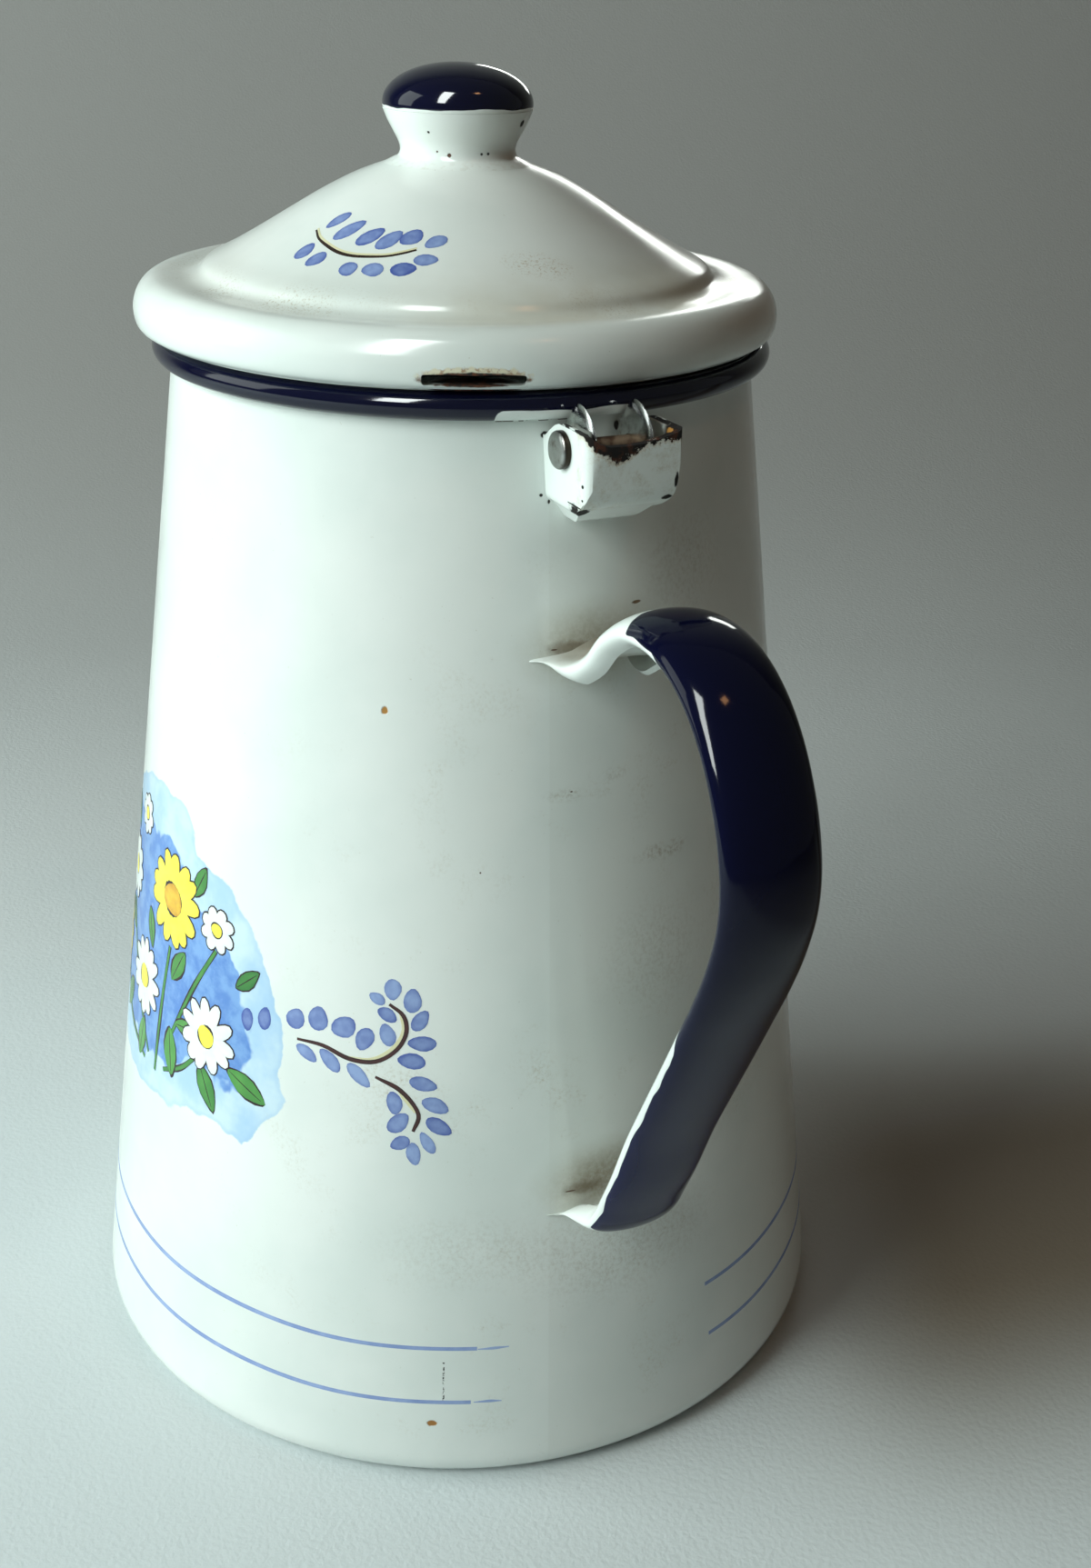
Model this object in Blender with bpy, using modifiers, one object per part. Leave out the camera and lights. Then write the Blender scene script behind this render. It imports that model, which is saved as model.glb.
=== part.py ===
"""Enamel coffee pot: tapered sheet body, strainer spout, strap handle, hinge bracket and loose lid.

Metres, +Z up. The pot stands on the plane z = 0 with its axis on Z. The handle and the hinge
bracket lie on the +X side and the spout on the -X side.
"""

import math

import bmesh
import bpy
from mathutils import Matrix, Vector

# Sheet, clearances and mesh steps
SHEET = 0.001
SEAT_GAP = 0.0003
RUN_GAP = 0.0002
CUT_OVERRUN = 0.006
MERGE = 0.00001
BODY_STEPS = 60
LID_STEPS = 56
KNOB_STEPS = 32
SMOOTH_ANGLE = math.radians(35)

# Body: a cone sheet with a rolled rim and a turned-in foot
BASE_RADIUS = 0.0762
TAPER_SHARE = 0.1256
RIM_HEIGHT = 0.1968
BEAD_RADIUS = 0.00227
CURL_ANGLE = math.radians(290)
FOOT_CORNER = 0.005
FOOT_LIP = 0.010
CURL_STEPS = 10
CORNER_STEPS = 4

# Strainer punched in the body behind the spout
STRAINER_HOLE = 0.0036
STRAINER_PITCH = 0.0062
STRAINER_RINGS = 2
STRAINER_STEPS = 10

# Spout: a tapered swan neck
SPOUT_ROOT_HEIGHT = 0.084
SPOUT_TIP_BELOW_RIM = 0.0103
SPOUT_TIP_REACH = 0.0527
SPOUT_ROOT_HALF_HEIGHT = 0.023
SPOUT_ROOT_HALF_WIDTH = 0.0165
SPOUT_TIP_HALF_HEIGHT = 0.0078
SPOUT_TIP_HALF_WIDTH = 0.0074
SPOUT_ROOT_DEPTH = 0.012
SPOUT_SWELL = 0.037
SPOUT_NECK_PULL = 0.026
SPOUT_ROOT_RISE_SHARE = 0.14
SPOUT_TIP_RISE_SHARE = 0.30
SPOUT_LIP_FLARE = 0.0016
SPOUT_STATIONS = 16
SPOUT_SIDES = 20

# Handle: a hollow strap, open along its inner side
HANDLE_TOP_BELOW_RIM = 0.0408
HANDLE_SPAN = 0.1016
HANDLE_REACH = 0.0554
HANDLE_WIDTH = 0.0168
HANDLE_CROWN = 0.0030
HANDLE_ROOT_CROWN = 0.0012
HANDLE_ROOT_DEPTH = 0.0052
HANDLE_ROOT_RUN = 0.014
HANDLE_TOP_FLARE = 0.0009
HANDLE_LOW_FLARE = 0.0028
HANDLE_LOW_CURL = 0.0022
HANDLE_SLOT_ANGLE = math.radians(50)
HANDLE_ARC_STEPS = 12
HANDLE_STATIONS = 38
# Outward reach and height between the roots, of the strap's edge line
HANDLE_SHARES = (
    (-0.115, 1.000), (0.020, 0.998), (0.115, 1.004), (0.217, 1.033), (0.320, 1.083),
    (0.437, 1.118), (0.573, 1.127), (0.700, 1.114), (0.806, 1.081), (0.884, 1.035),
    (0.938, 0.982), (0.975, 0.922), (0.990, 0.852), (0.974, 0.788), (0.921, 0.714),
    (0.848, 0.640), (0.759, 0.562), (0.654, 0.471), (0.542, 0.375), (0.429, 0.277),
    (0.313, 0.165), (0.237, 0.098), (0.192, 0.059), (0.150, 0.031), (0.088, 0.014),
    (0.014, 0.005), (-0.120, -0.008),
)

# Hinge bracket: a folded sheet box, open at the top and towards the body
BRACKET_BELOW_RIM = 0.0015
BRACKET_REACH = 0.0163
BRACKET_WIDTH = 0.0164
BRACKET_DROP = 0.0136
BRACKET_CHAMFER_RISE = 0.0026
BRACKET_CHAMFER_RUN = 0.0046
BRACKET_BRIDGE = 0.0100
BRACKET_NOTCH = 0.0033
BRACKET_CORNER = 0.0010
FLAP_WIDTH = 0.0110
FLAP_DROP = 0.0032
FLAP_STANDOFF = 0.0029
HIDDEN_DEPTH = 0.006

# Hinge pin and what is left of the leaf on it
PIN_SETBACK = 0.0090
PIN_DROP = 0.0040
PIN_RADIUS = 0.0014
PIN_STEPS = 20
RIVET_HEAD_RADIUS = 0.0030
RIVET_HEAD_RISE = 0.0017
EAR_HUB_RADIUS = 0.0053
EAR_FRONT_GAP = 0.0003
EAR_NOSE_TILT = math.radians(55)
EAR_NOSE_FLAT = math.radians(28)
EAR_NOSE_FALL = math.radians(45)
EAR_STEPS = 36
LEAF_WIDTH = 0.0107
LEAF_OFFSET = -0.00115
LEAF_WEB = 0.0012

# Lid: bell dome, groove and rolled flange, lying turned off its hinge and a little off centre
LID_TURN = math.radians(-20.2)
LID_SHIFT = (-0.0004, -0.0009)
LID_LIP_GAP = 0.0008
LID_LIP_RISE = 0.0032
LID_BULGE = 0.0018
LID_ROLL_RISE = 0.0057
LID_ROLL_RUN = 0.0049
LID_GROOVE_RUN = 0.0047
LID_STEP_RUN = 0.0032
LID_STEP_RISE = 0.0021
LID_DOME_RISE = 0.0183
LID_VENT_RADIUS = 0.0020
# Radius from vent to shoulder and height from shoulder to crown, of the bell dome
DOME_SHARES = (
    (0.00, 1.000), (0.11, 0.990), (0.24, 0.902), (0.38, 0.786), (0.52, 0.626),
    (0.66, 0.438), (0.79, 0.262), (0.90, 0.120), (1.00, 0.000),
)
SLOT_LENGTH = 0.0162
SLOT_HEIGHT = 0.0017
SLOT_ABOVE_LIP = 0.0008
SLOT_DEPTH = 0.004

# Collar under the lid, which stands in the mouth
COLLAR_MOUTH_GAP = 0.0014
COLLAR_LIP_GAP = 0.0003
COLLAR_SKIRT = 0.0129
COLLAR_BEND = 0.0012

# Knob: a waisted neck under a domed cap
NECK_FOOT_RADIUS = 0.0113
NECK_WAIST_RADIUS = 0.0100
NECK_WAIST_RISE = 0.0020
NECK_TOP_RADIUS = 0.0128
NECK_TOP_RISE = 0.0062
CAP_RADIUS = 0.0130
CAP_RIM_RISE = 0.0008
CAP_DOME_RISE = 0.0064
CAP_STEPS = 6

WHITE_ENAMEL = (0.80, 0.86, 0.84)
NAVY_ENAMEL = (0.010, 0.011, 0.060)
POLISHED_STEEL = (0.42, 0.43, 0.42)

pieces = bpy.data.collections.new("enamel_coffee_pot")
tools = bpy.data.collections.new("cutters")


def clear_scene():
    for item in list(bpy.data.objects):
        bpy.data.objects.remove(item, do_unlink=True)
    for group in (pieces, tools):
        bpy.context.scene.collection.children.link(group)


def finish(name, colour, roughness, metallic=0.0):
    material = bpy.data.materials.new(name)
    material.use_nodes = True
    shader = material.node_tree.nodes["Principled BSDF"]
    shader.inputs["Base Color"].default_value = (*colour, 1.0)
    shader.inputs["Roughness"].default_value = roughness
    shader.inputs["Metallic"].default_value = metallic
    return material


def add_piece(name, mesh, colour, roughness, metallic=0.0, parent=None):
    piece = bpy.data.objects.new(name, mesh)
    pieces.objects.link(piece)
    mesh.materials.clear()
    mesh.materials.append(finish(name, colour, roughness, metallic))
    piece.parent = parent
    return piece


def add_empty(name, place, turn=0.0):
    empty = bpy.data.objects.new(name, None)
    pieces.objects.link(empty)
    empty.location = place
    empty.rotation_euler = (0, 0, turn)
    return empty


def mesh_from(name, bm):
    mesh = bpy.data.meshes.new(name)
    bm.normal_update()
    bm.to_mesh(mesh)
    bm.free()
    mesh.shade_smooth()
    mesh.set_sharp_from_angle(angle=SMOOTH_ANGLE)
    return mesh


def profile_mesh(name, profile, closed=False):
    """A line of (radius, height) points in the XZ plane."""
    bm = bmesh.new()
    line = [bm.verts.new((radius, 0, height)) for radius, height in profile]
    for start, end in zip(line, line[1:] + line[:1] if closed else line[1:]):
        bm.edges.new((start, end))
    return mesh_from(name, bm)


def turn(piece, steps):
    screw = piece.modifiers.new("turn", "SCREW")
    screw.steps = screw.render_steps = steps
    screw.use_merge_vertices = True
    screw.merge_threshold = MERGE
    screw.use_smooth_shade = True


def thicken(piece):
    """Adds the sheet's thickness behind the faces."""
    sheet = piece.modifiers.new("sheet", "SOLIDIFY")
    sheet.thickness = SHEET
    sheet.offset = -1
    sheet.use_even_offset = True


def cut(piece, cutter):
    boolean = piece.modifiers.new(cutter.name, "BOOLEAN")
    boolean.operation = "DIFFERENCE"
    boolean.solver = "EXACT"
    boolean.object = cutter


def add_cutter(name, mesh, parent=None):
    cutter = bpy.data.objects.new(name, mesh)
    tools.objects.link(cutter)
    cutter.hide_render = True
    cutter.display_type = "WIRE"
    cutter.parent = parent
    return cutter


def box_mesh(name, low, high):
    bm = bmesh.new()
    bmesh.ops.create_cube(bm, size=1)
    low, high = Vector(low), Vector(high)
    bmesh.ops.scale(bm, vec=high - low, verts=bm.verts)
    bmesh.ops.translate(bm, vec=(high + low) / 2, verts=bm.verts)
    return mesh_from(name, bm)


def rod_mesh(name, radius, length, steps, turned=Matrix()):
    """A round rod along Z, centred, then turned by the matrix."""
    bm = bmesh.new()
    bmesh.ops.create_cone(bm, cap_ends=True, segments=steps, radius1=radius, radius2=radius, depth=length)
    bmesh.ops.transform(bm, matrix=turned, verts=bm.verts)
    return mesh_from(name, bm)


def plate(name, outline, width):
    """A flat outline in the XZ plane, extruded to its width across Y."""
    curve = bpy.data.curves.new(name, "CURVE")
    curve.dimensions = "2D"
    curve.fill_mode = "BOTH"
    curve.extrude = width / 2
    spline = curve.splines.new("POLY")
    spline.points.add(len(outline) - 1)
    spline.use_cyclic_u = True
    for point, (across, height) in zip(spline.points, outline):
        point.co = (across, height, 0, 1)
    guide = bpy.data.objects.new(name, curve)
    tools.objects.link(guide)
    guide.rotation_euler = (math.pi / 2, 0, 0)
    bpy.context.view_layer.update()
    graph = bpy.context.evaluated_depsgraph_get()
    mesh = bpy.data.meshes.new_from_object(guide.evaluated_get(graph))
    mesh.transform(guide.matrix_world)
    bpy.data.objects.remove(guide, do_unlink=True)
    bm = bmesh.new()
    bm.from_mesh(mesh)
    bpy.data.meshes.remove(mesh)
    bmesh.ops.remove_doubles(bm, verts=bm.verts, dist=MERGE)
    bmesh.ops.dissolve_limit(bm, angle_limit=math.radians(1), verts=bm.verts, edges=bm.edges)
    bmesh.ops.recalc_face_normals(bm, faces=bm.faces)
    return mesh_from(name, bm)


def smooth_line(points, count):
    """A smooth line through the points, sampled evenly by point number."""
    spans = len(points) - 1
    line = []
    for i in range(count + 1):
        place = i / count * spans
        k = min(int(place), spans - 1)
        t = place - k
        p0, p1, p2, p3 = (Vector(points[min(max(j, 0), spans)]) for j in (k - 1, k, k + 1, k + 2))
        bend = (2 * p1 + (p2 - p0) * t + (2 * p0 - 5 * p1 + 4 * p2 - p3) * t * t
                + (3 * p1 - 3 * p2 + p3 - p0) * t * t * t)
        line.append(bend / 2)
    return line


def loft(rings, capped):
    """Joins rings of equal count, each ring given in turn about the direction of travel."""
    bm = bmesh.new()
    loops = [[bm.verts.new(point) for point in ring] for ring in rings]
    for low, high in zip(loops, loops[1:]):
        for i, corner in enumerate(low):
            j = (i + 1) % len(low)
            bm.faces.new((corner, low[j], high[j], high[i]))
    if capped:
        bm.faces.new(reversed(loops[0]))
        bm.faces.new(loops[-1])
    return bm


def wall_radius(height):
    """Outside radius of the body's cone."""
    return BASE_RADIUS - TAPER_SHARE * height


WALL_ANGLE = math.atan(TAPER_SHARE)
MOUTH_RADIUS = wall_radius(RIM_HEIGHT) - SHEET / math.cos(WALL_ANGLE)
BEAD_CENTRE = MOUTH_RADIUS + BEAD_RADIUS / math.cos(WALL_ANGLE)
RIM_TOP = RIM_HEIGHT + BEAD_RADIUS
FOOT_EDGE = wall_radius(0) - FOOT_LIP
SPOUT_TIP_HEIGHT = RIM_HEIGHT - SPOUT_TIP_BELOW_RIM
BRACKET_TOP = RIM_HEIGHT - BRACKET_BELOW_RIM
BRACKET_LOW = BRACKET_TOP - BRACKET_DROP
BRACKET_FRONT = wall_radius(RIM_HEIGHT) + BRACKET_REACH
PIN_REACH = BRACKET_FRONT - PIN_SETBACK
PIN_HEIGHT = BRACKET_TOP - PIN_DROP
EAR_NOSE_RADIUS = PIN_SETBACK - SHEET - EAR_FRONT_GAP
LIP_RADIUS = BEAD_CENTRE + BEAD_RADIUS
LIP_HEIGHT = RIM_TOP + LID_LIP_GAP
LID_RADIUS = LIP_RADIUS + LID_BULGE
BULGE_HEIGHT = LIP_HEIGHT + LID_LIP_RISE
CREST_RADIUS = LID_RADIUS - LID_ROLL_RUN
CREST_HEIGHT = BULGE_HEIGHT + LID_ROLL_RISE
GROOVE_RADIUS = CREST_RADIUS - LID_GROOVE_RUN
SHOULDER_RADIUS = GROOVE_RADIUS - LID_STEP_RUN
SHOULDER_HEIGHT = CREST_HEIGHT + LID_STEP_RISE
CROWN_HEIGHT = SHOULDER_HEIGHT + LID_DOME_RISE


def arc(centre, radius, start, end, steps):
    angles = [start + (end - start) * i / steps for i in range(steps + 1)]
    return [(centre[0] + radius * math.cos(a), centre[1] + radius * math.sin(a)) for a in angles]


def body_cutter(name, gap):
    """The body's solid cone, grown by the gap, for what is set against the wall."""
    low, high = -CUT_OVERRUN, RIM_HEIGHT
    grow = gap / math.cos(WALL_ANGLE)
    bm = bmesh.new()
    bmesh.ops.create_cone(bm, cap_ends=True, segments=BODY_STEPS, depth=high - low,
                          radius1=wall_radius(low) + grow, radius2=wall_radius(high) + grow)
    bmesh.ops.translate(bm, vec=(0, 0, (low + high) / 2), verts=bm.verts)
    return add_cutter(name, mesh_from(name, bm))


def make_body():
    """The inner face of the sheet: foot, corner, cone and the rim rolled outward."""
    corner_height = FOOT_CORNER
    corner_radius = wall_radius(corner_height) - FOOT_CORNER / math.cos(WALL_ANGLE)
    profile = [(FOOT_EDGE, SHEET)]
    profile += arc((corner_radius, corner_height), FOOT_CORNER - SHEET, -math.pi / 2, WALL_ANGLE, CORNER_STEPS)
    start = math.pi + WALL_ANGLE
    profile += arc((BEAD_CENTRE, RIM_HEIGHT), BEAD_RADIUS, start, start - CURL_ANGLE, CURL_STEPS)
    body = add_piece("body_shell", profile_mesh("body_shell", profile), WHITE_ENAMEL, 0.18)
    turn(body, BODY_STEPS)
    thicken(body)
    cut(body, strainer_cutter())
    return body


def strainer_cutter():
    """Round holes on a six-sided pattern, punched square to the wall."""
    centre = Vector((-wall_radius(SPOUT_ROOT_HEIGHT), 0, SPOUT_ROOT_HEIGHT))
    upright = Matrix.Rotation(WALL_ANGLE, 4, "Y")
    bm = bmesh.new()
    reach = 4 * SHEET
    for row in range(-STRAINER_RINGS, STRAINER_RINGS + 1):
        count = 2 * STRAINER_RINGS + 1 - abs(row)
        for column in range(count):
            across = (column - (count - 1) / 2) * STRAINER_PITCH
            rise = row * STRAINER_PITCH * math.sqrt(3) / 2
            round_wall = -centre.x - math.sqrt(centre.x ** 2 - across ** 2)
            place = Matrix.Translation(centre) @ upright @ Matrix.Translation((round_wall, across, rise))
            lay = place @ Matrix.Rotation(math.pi / 2, 4, "Y")
            bmesh.ops.create_cone(bm, cap_ends=True, segments=STRAINER_STEPS, radius1=STRAINER_HOLE / 2,
                                  radius2=STRAINER_HOLE / 2, depth=2 * reach, matrix=lay)
    return add_cutter("strainer_holes", mesh_from("strainer_holes", bm))


def make_base():
    """The bottom disc, let in flush inside the turned foot."""
    radius = FOOT_EDGE - SEAT_GAP
    lift = Matrix.Translation((0, 0, SHEET / 2))
    mesh = rod_mesh("base_pan", radius, SHEET, BODY_STEPS, lift)
    return add_piece("base_pan", mesh, WHITE_ENAMEL, 0.25)


def spout_rings():
    """Oval rings along the swan neck, turning level at the mouth."""
    root = Vector((-wall_radius(SPOUT_ROOT_HEIGHT) + SPOUT_ROOT_DEPTH, 0, SPOUT_ROOT_HEIGHT))
    tip = Vector((-wall_radius(SPOUT_TIP_HEIGHT) - SPOUT_TIP_REACH, 0, SPOUT_TIP_HEIGHT))
    rise = tip.z - root.z
    low_pull = root + Vector((-SPOUT_SWELL - SPOUT_ROOT_DEPTH, 0, rise * SPOUT_ROOT_RISE_SHARE))
    high_pull = tip + Vector((SPOUT_NECK_PULL, 0, -rise * SPOUT_TIP_RISE_SHARE))
    rings = []
    for i in range(SPOUT_STATIONS + 1):
        t = i / SPOUT_STATIONS
        u = 1 - t
        centre = u ** 3 * root + 3 * u * u * t * low_pull + 3 * u * t * t * high_pull + t ** 3 * tip
        travel = u * u * (low_pull - root) + 2 * u * t * (high_pull - low_pull) + t * t * (tip - high_pull)
        level = t ** 4
        travel = (travel.normalized() * (1 - level) + Vector((0, 0, 1)) * level).normalized()
        above = Vector((-travel.z, 0, travel.x))
        narrowing = u ** 1.5
        flare = SPOUT_LIP_FLARE * t ** 12
        tall = SPOUT_TIP_HALF_HEIGHT + (SPOUT_ROOT_HALF_HEIGHT - SPOUT_TIP_HALF_HEIGHT) * narrowing + flare
        wide = SPOUT_TIP_HALF_WIDTH + (SPOUT_ROOT_HALF_WIDTH - SPOUT_TIP_HALF_WIDTH) * narrowing + flare
        angles = [2 * math.pi * k / SPOUT_SIDES for k in range(SPOUT_SIDES)]
        rings.append([centre + above * tall * math.cos(a) + Vector((0, wide * math.sin(a), 0)) for a in angles])
    return rings


def make_spout(wall_cutter):
    bm = loft(spout_rings(), capped=False)
    spout = add_piece("spout", mesh_from("spout", bm), WHITE_ENAMEL, 0.18)
    thicken(spout)
    cut(spout, wall_cutter)
    return spout


def handle_line():
    low_root = RIM_HEIGHT - HANDLE_TOP_BELOW_RIM - HANDLE_SPAN
    points = []
    for reach_share, height_share in HANDLE_SHARES:
        height = low_root + HANDLE_SPAN * height_share
        points.append((wall_radius(height) + HANDLE_REACH * reach_share, 0, height))
    return smooth_line(points, HANDLE_STATIONS)


def handle_section(body_share, flare, curl):
    """Outer and inner lines of the hollow strap, across and out, as one closed ring."""
    root_share = (1 - body_share) ** 2
    half = HANDLE_WIDTH / 2 + flare * root_share
    crown = HANDLE_ROOT_CROWN + (HANDLE_CROWN - HANDLE_ROOT_CROWN) * body_share
    depth = HANDLE_CROWN + (HANDLE_ROOT_DEPTH - HANDLE_CROWN) * root_share
    start, end = -HANDLE_SLOT_ANGLE, math.pi + HANDLE_SLOT_ANGLE
    angles = [start + (end - start) * i / HANDLE_ARC_STEPS for i in range(HANDLE_ARC_STEPS + 1)]
    ring = []
    for sheet, turns in ((0, angles), (SHEET, reversed(angles))):
        for a in turns:
            tall = crown if math.sin(a) > 0 else depth
            bend = curl * root_share * math.cos(a) ** 2
            ring.append(((half - sheet) * math.cos(a), (tall - sheet) * math.sin(a) - bend))
    return ring


def make_handle(wall_cutter):
    line = handle_line()
    rings = []
    run = [0.0]
    for start, end in zip(line, line[1:]):
        run.append(run[-1] + (end - start).length)
    for i, centre in enumerate(line):
        travel = (line[min(i + 1, len(line) - 1)] - line[max(i - 1, 0)]).normalized()
        outward = Vector((-travel.z, 0, travel.x))
        from_root = min(run[i], run[-1] - run[i]) - HIDDEN_DEPTH
        share = min(max(from_root / HANDLE_ROOT_RUN, 0), 1)
        share = share * share * (3 - 2 * share)
        upper = i < len(line) / 2
        section = handle_section(share, HANDLE_TOP_FLARE if upper else HANDLE_LOW_FLARE, 0 if upper else HANDLE_LOW_CURL)
        rings.append([centre + Vector((0, across, 0)) + outward * out for across, out in section])
    bm = loft(rings, capped=True)
    bmesh.ops.recalc_face_normals(bm, faces=bm.faces)
    handle = add_piece("handle_strap", mesh_from("handle_strap", bm), NAVY_ENAMEL, 0.12)
    cut(handle, wall_cutter)
    return handle


def bracket_outline(shell):
    """Side view of the bracket's box; the inner one is open above."""
    front = BRACKET_FRONT - shell
    back = wall_radius(BRACKET_TOP) - HIDDEN_DEPTH
    low = BRACKET_LOW + shell
    outline = [(back, low), (front - BRACKET_CHAMFER_RUN, low), (front, low + BRACKET_CHAMFER_RISE)]
    if shell:
        over, behind = BRACKET_TOP + CUT_OVERRUN, back - CUT_OVERRUN
        return outline + [(front, over), (behind, over), (behind, low)]
    notch = BRACKET_TOP - BRACKET_NOTCH
    return outline + [(front, BRACKET_TOP), (front - BRACKET_BRIDGE, BRACKET_TOP),
                      (wall_radius(notch), notch), (back, notch)]


def flap_outline(shell):
    """Side view of the floor flap, sloping from the front wall down to its toe beside the body."""
    low = BRACKET_LOW - FLAP_DROP
    wall = wall_radius(low)
    toe = wall + FLAP_STANDOFF
    start = BRACKET_LOW + BRACKET_CHAMFER_RISE
    slope = (start - low) / (BRACKET_FRONT - toe)
    drop = shell * math.hypot(1, slope)
    roof = start + BRACKET_CHAMFER_RISE
    front, back = BRACKET_FRONT - shell, wall - HIDDEN_DEPTH
    return [(back, low + shell), (toe - (drop - shell) / slope, low + shell),
            (front, start - slope * shell + drop), (front, roof), (back, roof)]


def round_front(mesh, radius):
    """Rounds the upright front corners."""
    bm = bmesh.new()
    bm.from_mesh(mesh)
    front = max(vert.co.x for vert in bm.verts)
    upright = [edge for edge in bm.edges
               if all(abs(vert.co.x - front) < MERGE for vert in edge.verts)
               and abs(edge.verts[0].co.y - edge.verts[1].co.y) < MERGE]
    bmesh.ops.bevel(bm, geom=upright, offset=radius, segments=3, profile=0.5, affect="EDGES")
    bm.to_mesh(mesh)
    bm.free()
    return mesh


def make_bracket(wall_cutter):
    outer = plate("hinge_bracket", bracket_outline(0), BRACKET_WIDTH)
    bracket = add_piece("hinge_bracket", round_front(outer, BRACKET_CORNER), WHITE_ENAMEL, 0.2)
    flap = add_cutter("bracket_flap", plate("bracket_flap", flap_outline(0), FLAP_WIDTH))
    joined = bracket.modifiers.new("flap", "BOOLEAN")
    joined.operation = "UNION"
    joined.solver = "EXACT"
    joined.object = flap
    hollow = plate("bracket_hollow", bracket_outline(SHEET), BRACKET_WIDTH - 2 * SHEET)
    cut(bracket, add_cutter("bracket_hollow", hollow))
    cut(bracket, add_cutter("flap_hollow", plate("flap_hollow", flap_outline(SHEET), FLAP_WIDTH - 2 * SHEET)))
    cut(bracket, wall_cutter)
    bore = rod_mesh("pin_hole", PIN_RADIUS + RUN_GAP, 2 * BRACKET_WIDTH, PIN_STEPS, pin_lay())
    cut(bracket, add_cutter("pin_hole", bore))
    return bracket


def pin_lay():
    """Lays a rod along the hinge line."""
    return Matrix.Translation((PIN_REACH, 0, PIN_HEIGHT)) @ Matrix.Rotation(math.pi / 2, 4, "X")


def make_pin():
    """A rivet: the shank and a domed head outside each wall of the bracket."""
    seat = BRACKET_WIDTH / 2 + SEAT_GAP
    crown = seat + RIVET_HEAD_RISE
    head = [(RIVET_HEAD_RADIUS * math.cos(a), seat + RIVET_HEAD_RISE * math.sin(a))
            for a in (math.pi / 2 * i / 4 for i in range(4))]
    half = [(0, crown)] + list(reversed(head)) + [(PIN_RADIUS, seat)]
    profile = half + [(radius, -height) for radius, height in reversed(half)]
    pin = add_piece("hinge_pin", profile_mesh("hinge_pin", profile), POLISHED_STEEL, 0.25, 1.0)
    turn(pin, PIN_STEPS)
    pin.location = (PIN_REACH, 0, PIN_HEIGHT)
    pin.rotation_euler = (math.pi / 2, 0, 0)
    return pin


def ear_outline():
    """Round the pin, with a blunt nose standing up and outward."""
    outline = []
    for i in range(EAR_STEPS):
        a = 2 * math.pi * i / EAR_STEPS
        off = abs((a - EAR_NOSE_TILT + math.pi) % (2 * math.pi) - math.pi)
        fall = min(max((off - EAR_NOSE_FLAT) / EAR_NOSE_FALL, 0), 1)
        radius = EAR_HUB_RADIUS + (EAR_NOSE_RADIUS - EAR_HUB_RADIUS) * math.cos(fall * math.pi / 2) ** 2
        outline.append((radius * math.cos(a), radius * math.sin(a)))
    return outline


def make_leaf():
    """Two ears on the pin, joined by a low web, slid to the near side of the bracket."""
    pivot = add_empty("leaf_pivot", (PIN_REACH, LEAF_OFFSET, PIN_HEIGHT))
    ears = plate("hinge_leaf", ear_outline(), LEAF_WIDTH)
    leaf = add_piece("hinge_leaf", ears, POLISHED_STEEL, 0.2, 1.0, pivot)
    reach = EAR_NOSE_RADIUS + CUT_OVERRUN
    inside = LEAF_WIDTH / 2 - SHEET
    web_top = -EAR_HUB_RADIUS + LEAF_WEB
    gap = box_mesh("leaf_gap", (-reach, -inside, web_top), (reach, inside, reach))
    cut(leaf, add_cutter("leaf_gap", gap, pivot))
    bore = rod_mesh("leaf_bore", PIN_RADIUS + RUN_GAP, 2 * LEAF_WIDTH, PIN_STEPS, Matrix.Rotation(math.pi / 2, 4, "X"))
    cut(leaf, add_cutter("leaf_bore", bore, pivot))
    return leaf


def dome_height(radius):
    """Outer height of the lid's dome at a radius between the vent and the shoulder."""
    share = (radius - LID_VENT_RADIUS) / (SHOULDER_RADIUS - LID_VENT_RADIUS)
    for (near, top), (far, low) in zip(DOME_SHARES, DOME_SHARES[1:]):
        if share <= far:
            return SHOULDER_HEIGHT + LID_DOME_RISE * (top + (low - top) * (share - near) / (far - near))
    return SHOULDER_HEIGHT


def lid_profile():
    """Outer face of the lid from the vent to the lip."""
    run = SHOULDER_RADIUS - LID_VENT_RADIUS
    dome = [(LID_VENT_RADIUS + run * across, SHOULDER_HEIGHT + LID_DOME_RISE * up) for across, up in DOME_SHARES]
    dip = [(SHOULDER_RADIUS + LID_STEP_RUN * 0.45, CREST_HEIGHT + LID_STEP_RISE * 0.30),
           (GROOVE_RADIUS, CREST_HEIGHT), (CREST_RADIUS, CREST_HEIGHT)]
    roll = [(CREST_RADIUS + LID_ROLL_RUN * math.sin(a), BULGE_HEIGHT + LID_ROLL_RISE * math.cos(a))
            for a in (math.pi / 2 * i / 5 for i in range(1, 6))]
    under = [(LIP_RADIUS + LID_BULGE * math.cos(a), BULGE_HEIGHT - LID_LIP_RISE * math.sin(a))
             for a in (math.pi / 4, math.pi / 2)]
    return dome + dip + roll + under


def make_lid(axis):
    lid = add_piece("lid_shell", profile_mesh("lid_shell", lid_profile()), WHITE_ENAMEL, 0.18, parent=axis)
    turn(lid, LID_STEPS)
    thicken(lid)
    low = (LID_RADIUS - SLOT_DEPTH, -SLOT_LENGTH / 2, LIP_HEIGHT + SLOT_ABOVE_LIP)
    high = (LID_RADIUS + CUT_OVERRUN, SLOT_LENGTH / 2, LIP_HEIGHT + SLOT_ABOVE_LIP + SLOT_HEIGHT)
    cut(lid, add_cutter("lid_slot", box_mesh("lid_slot", low, high), axis))
    return lid


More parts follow.
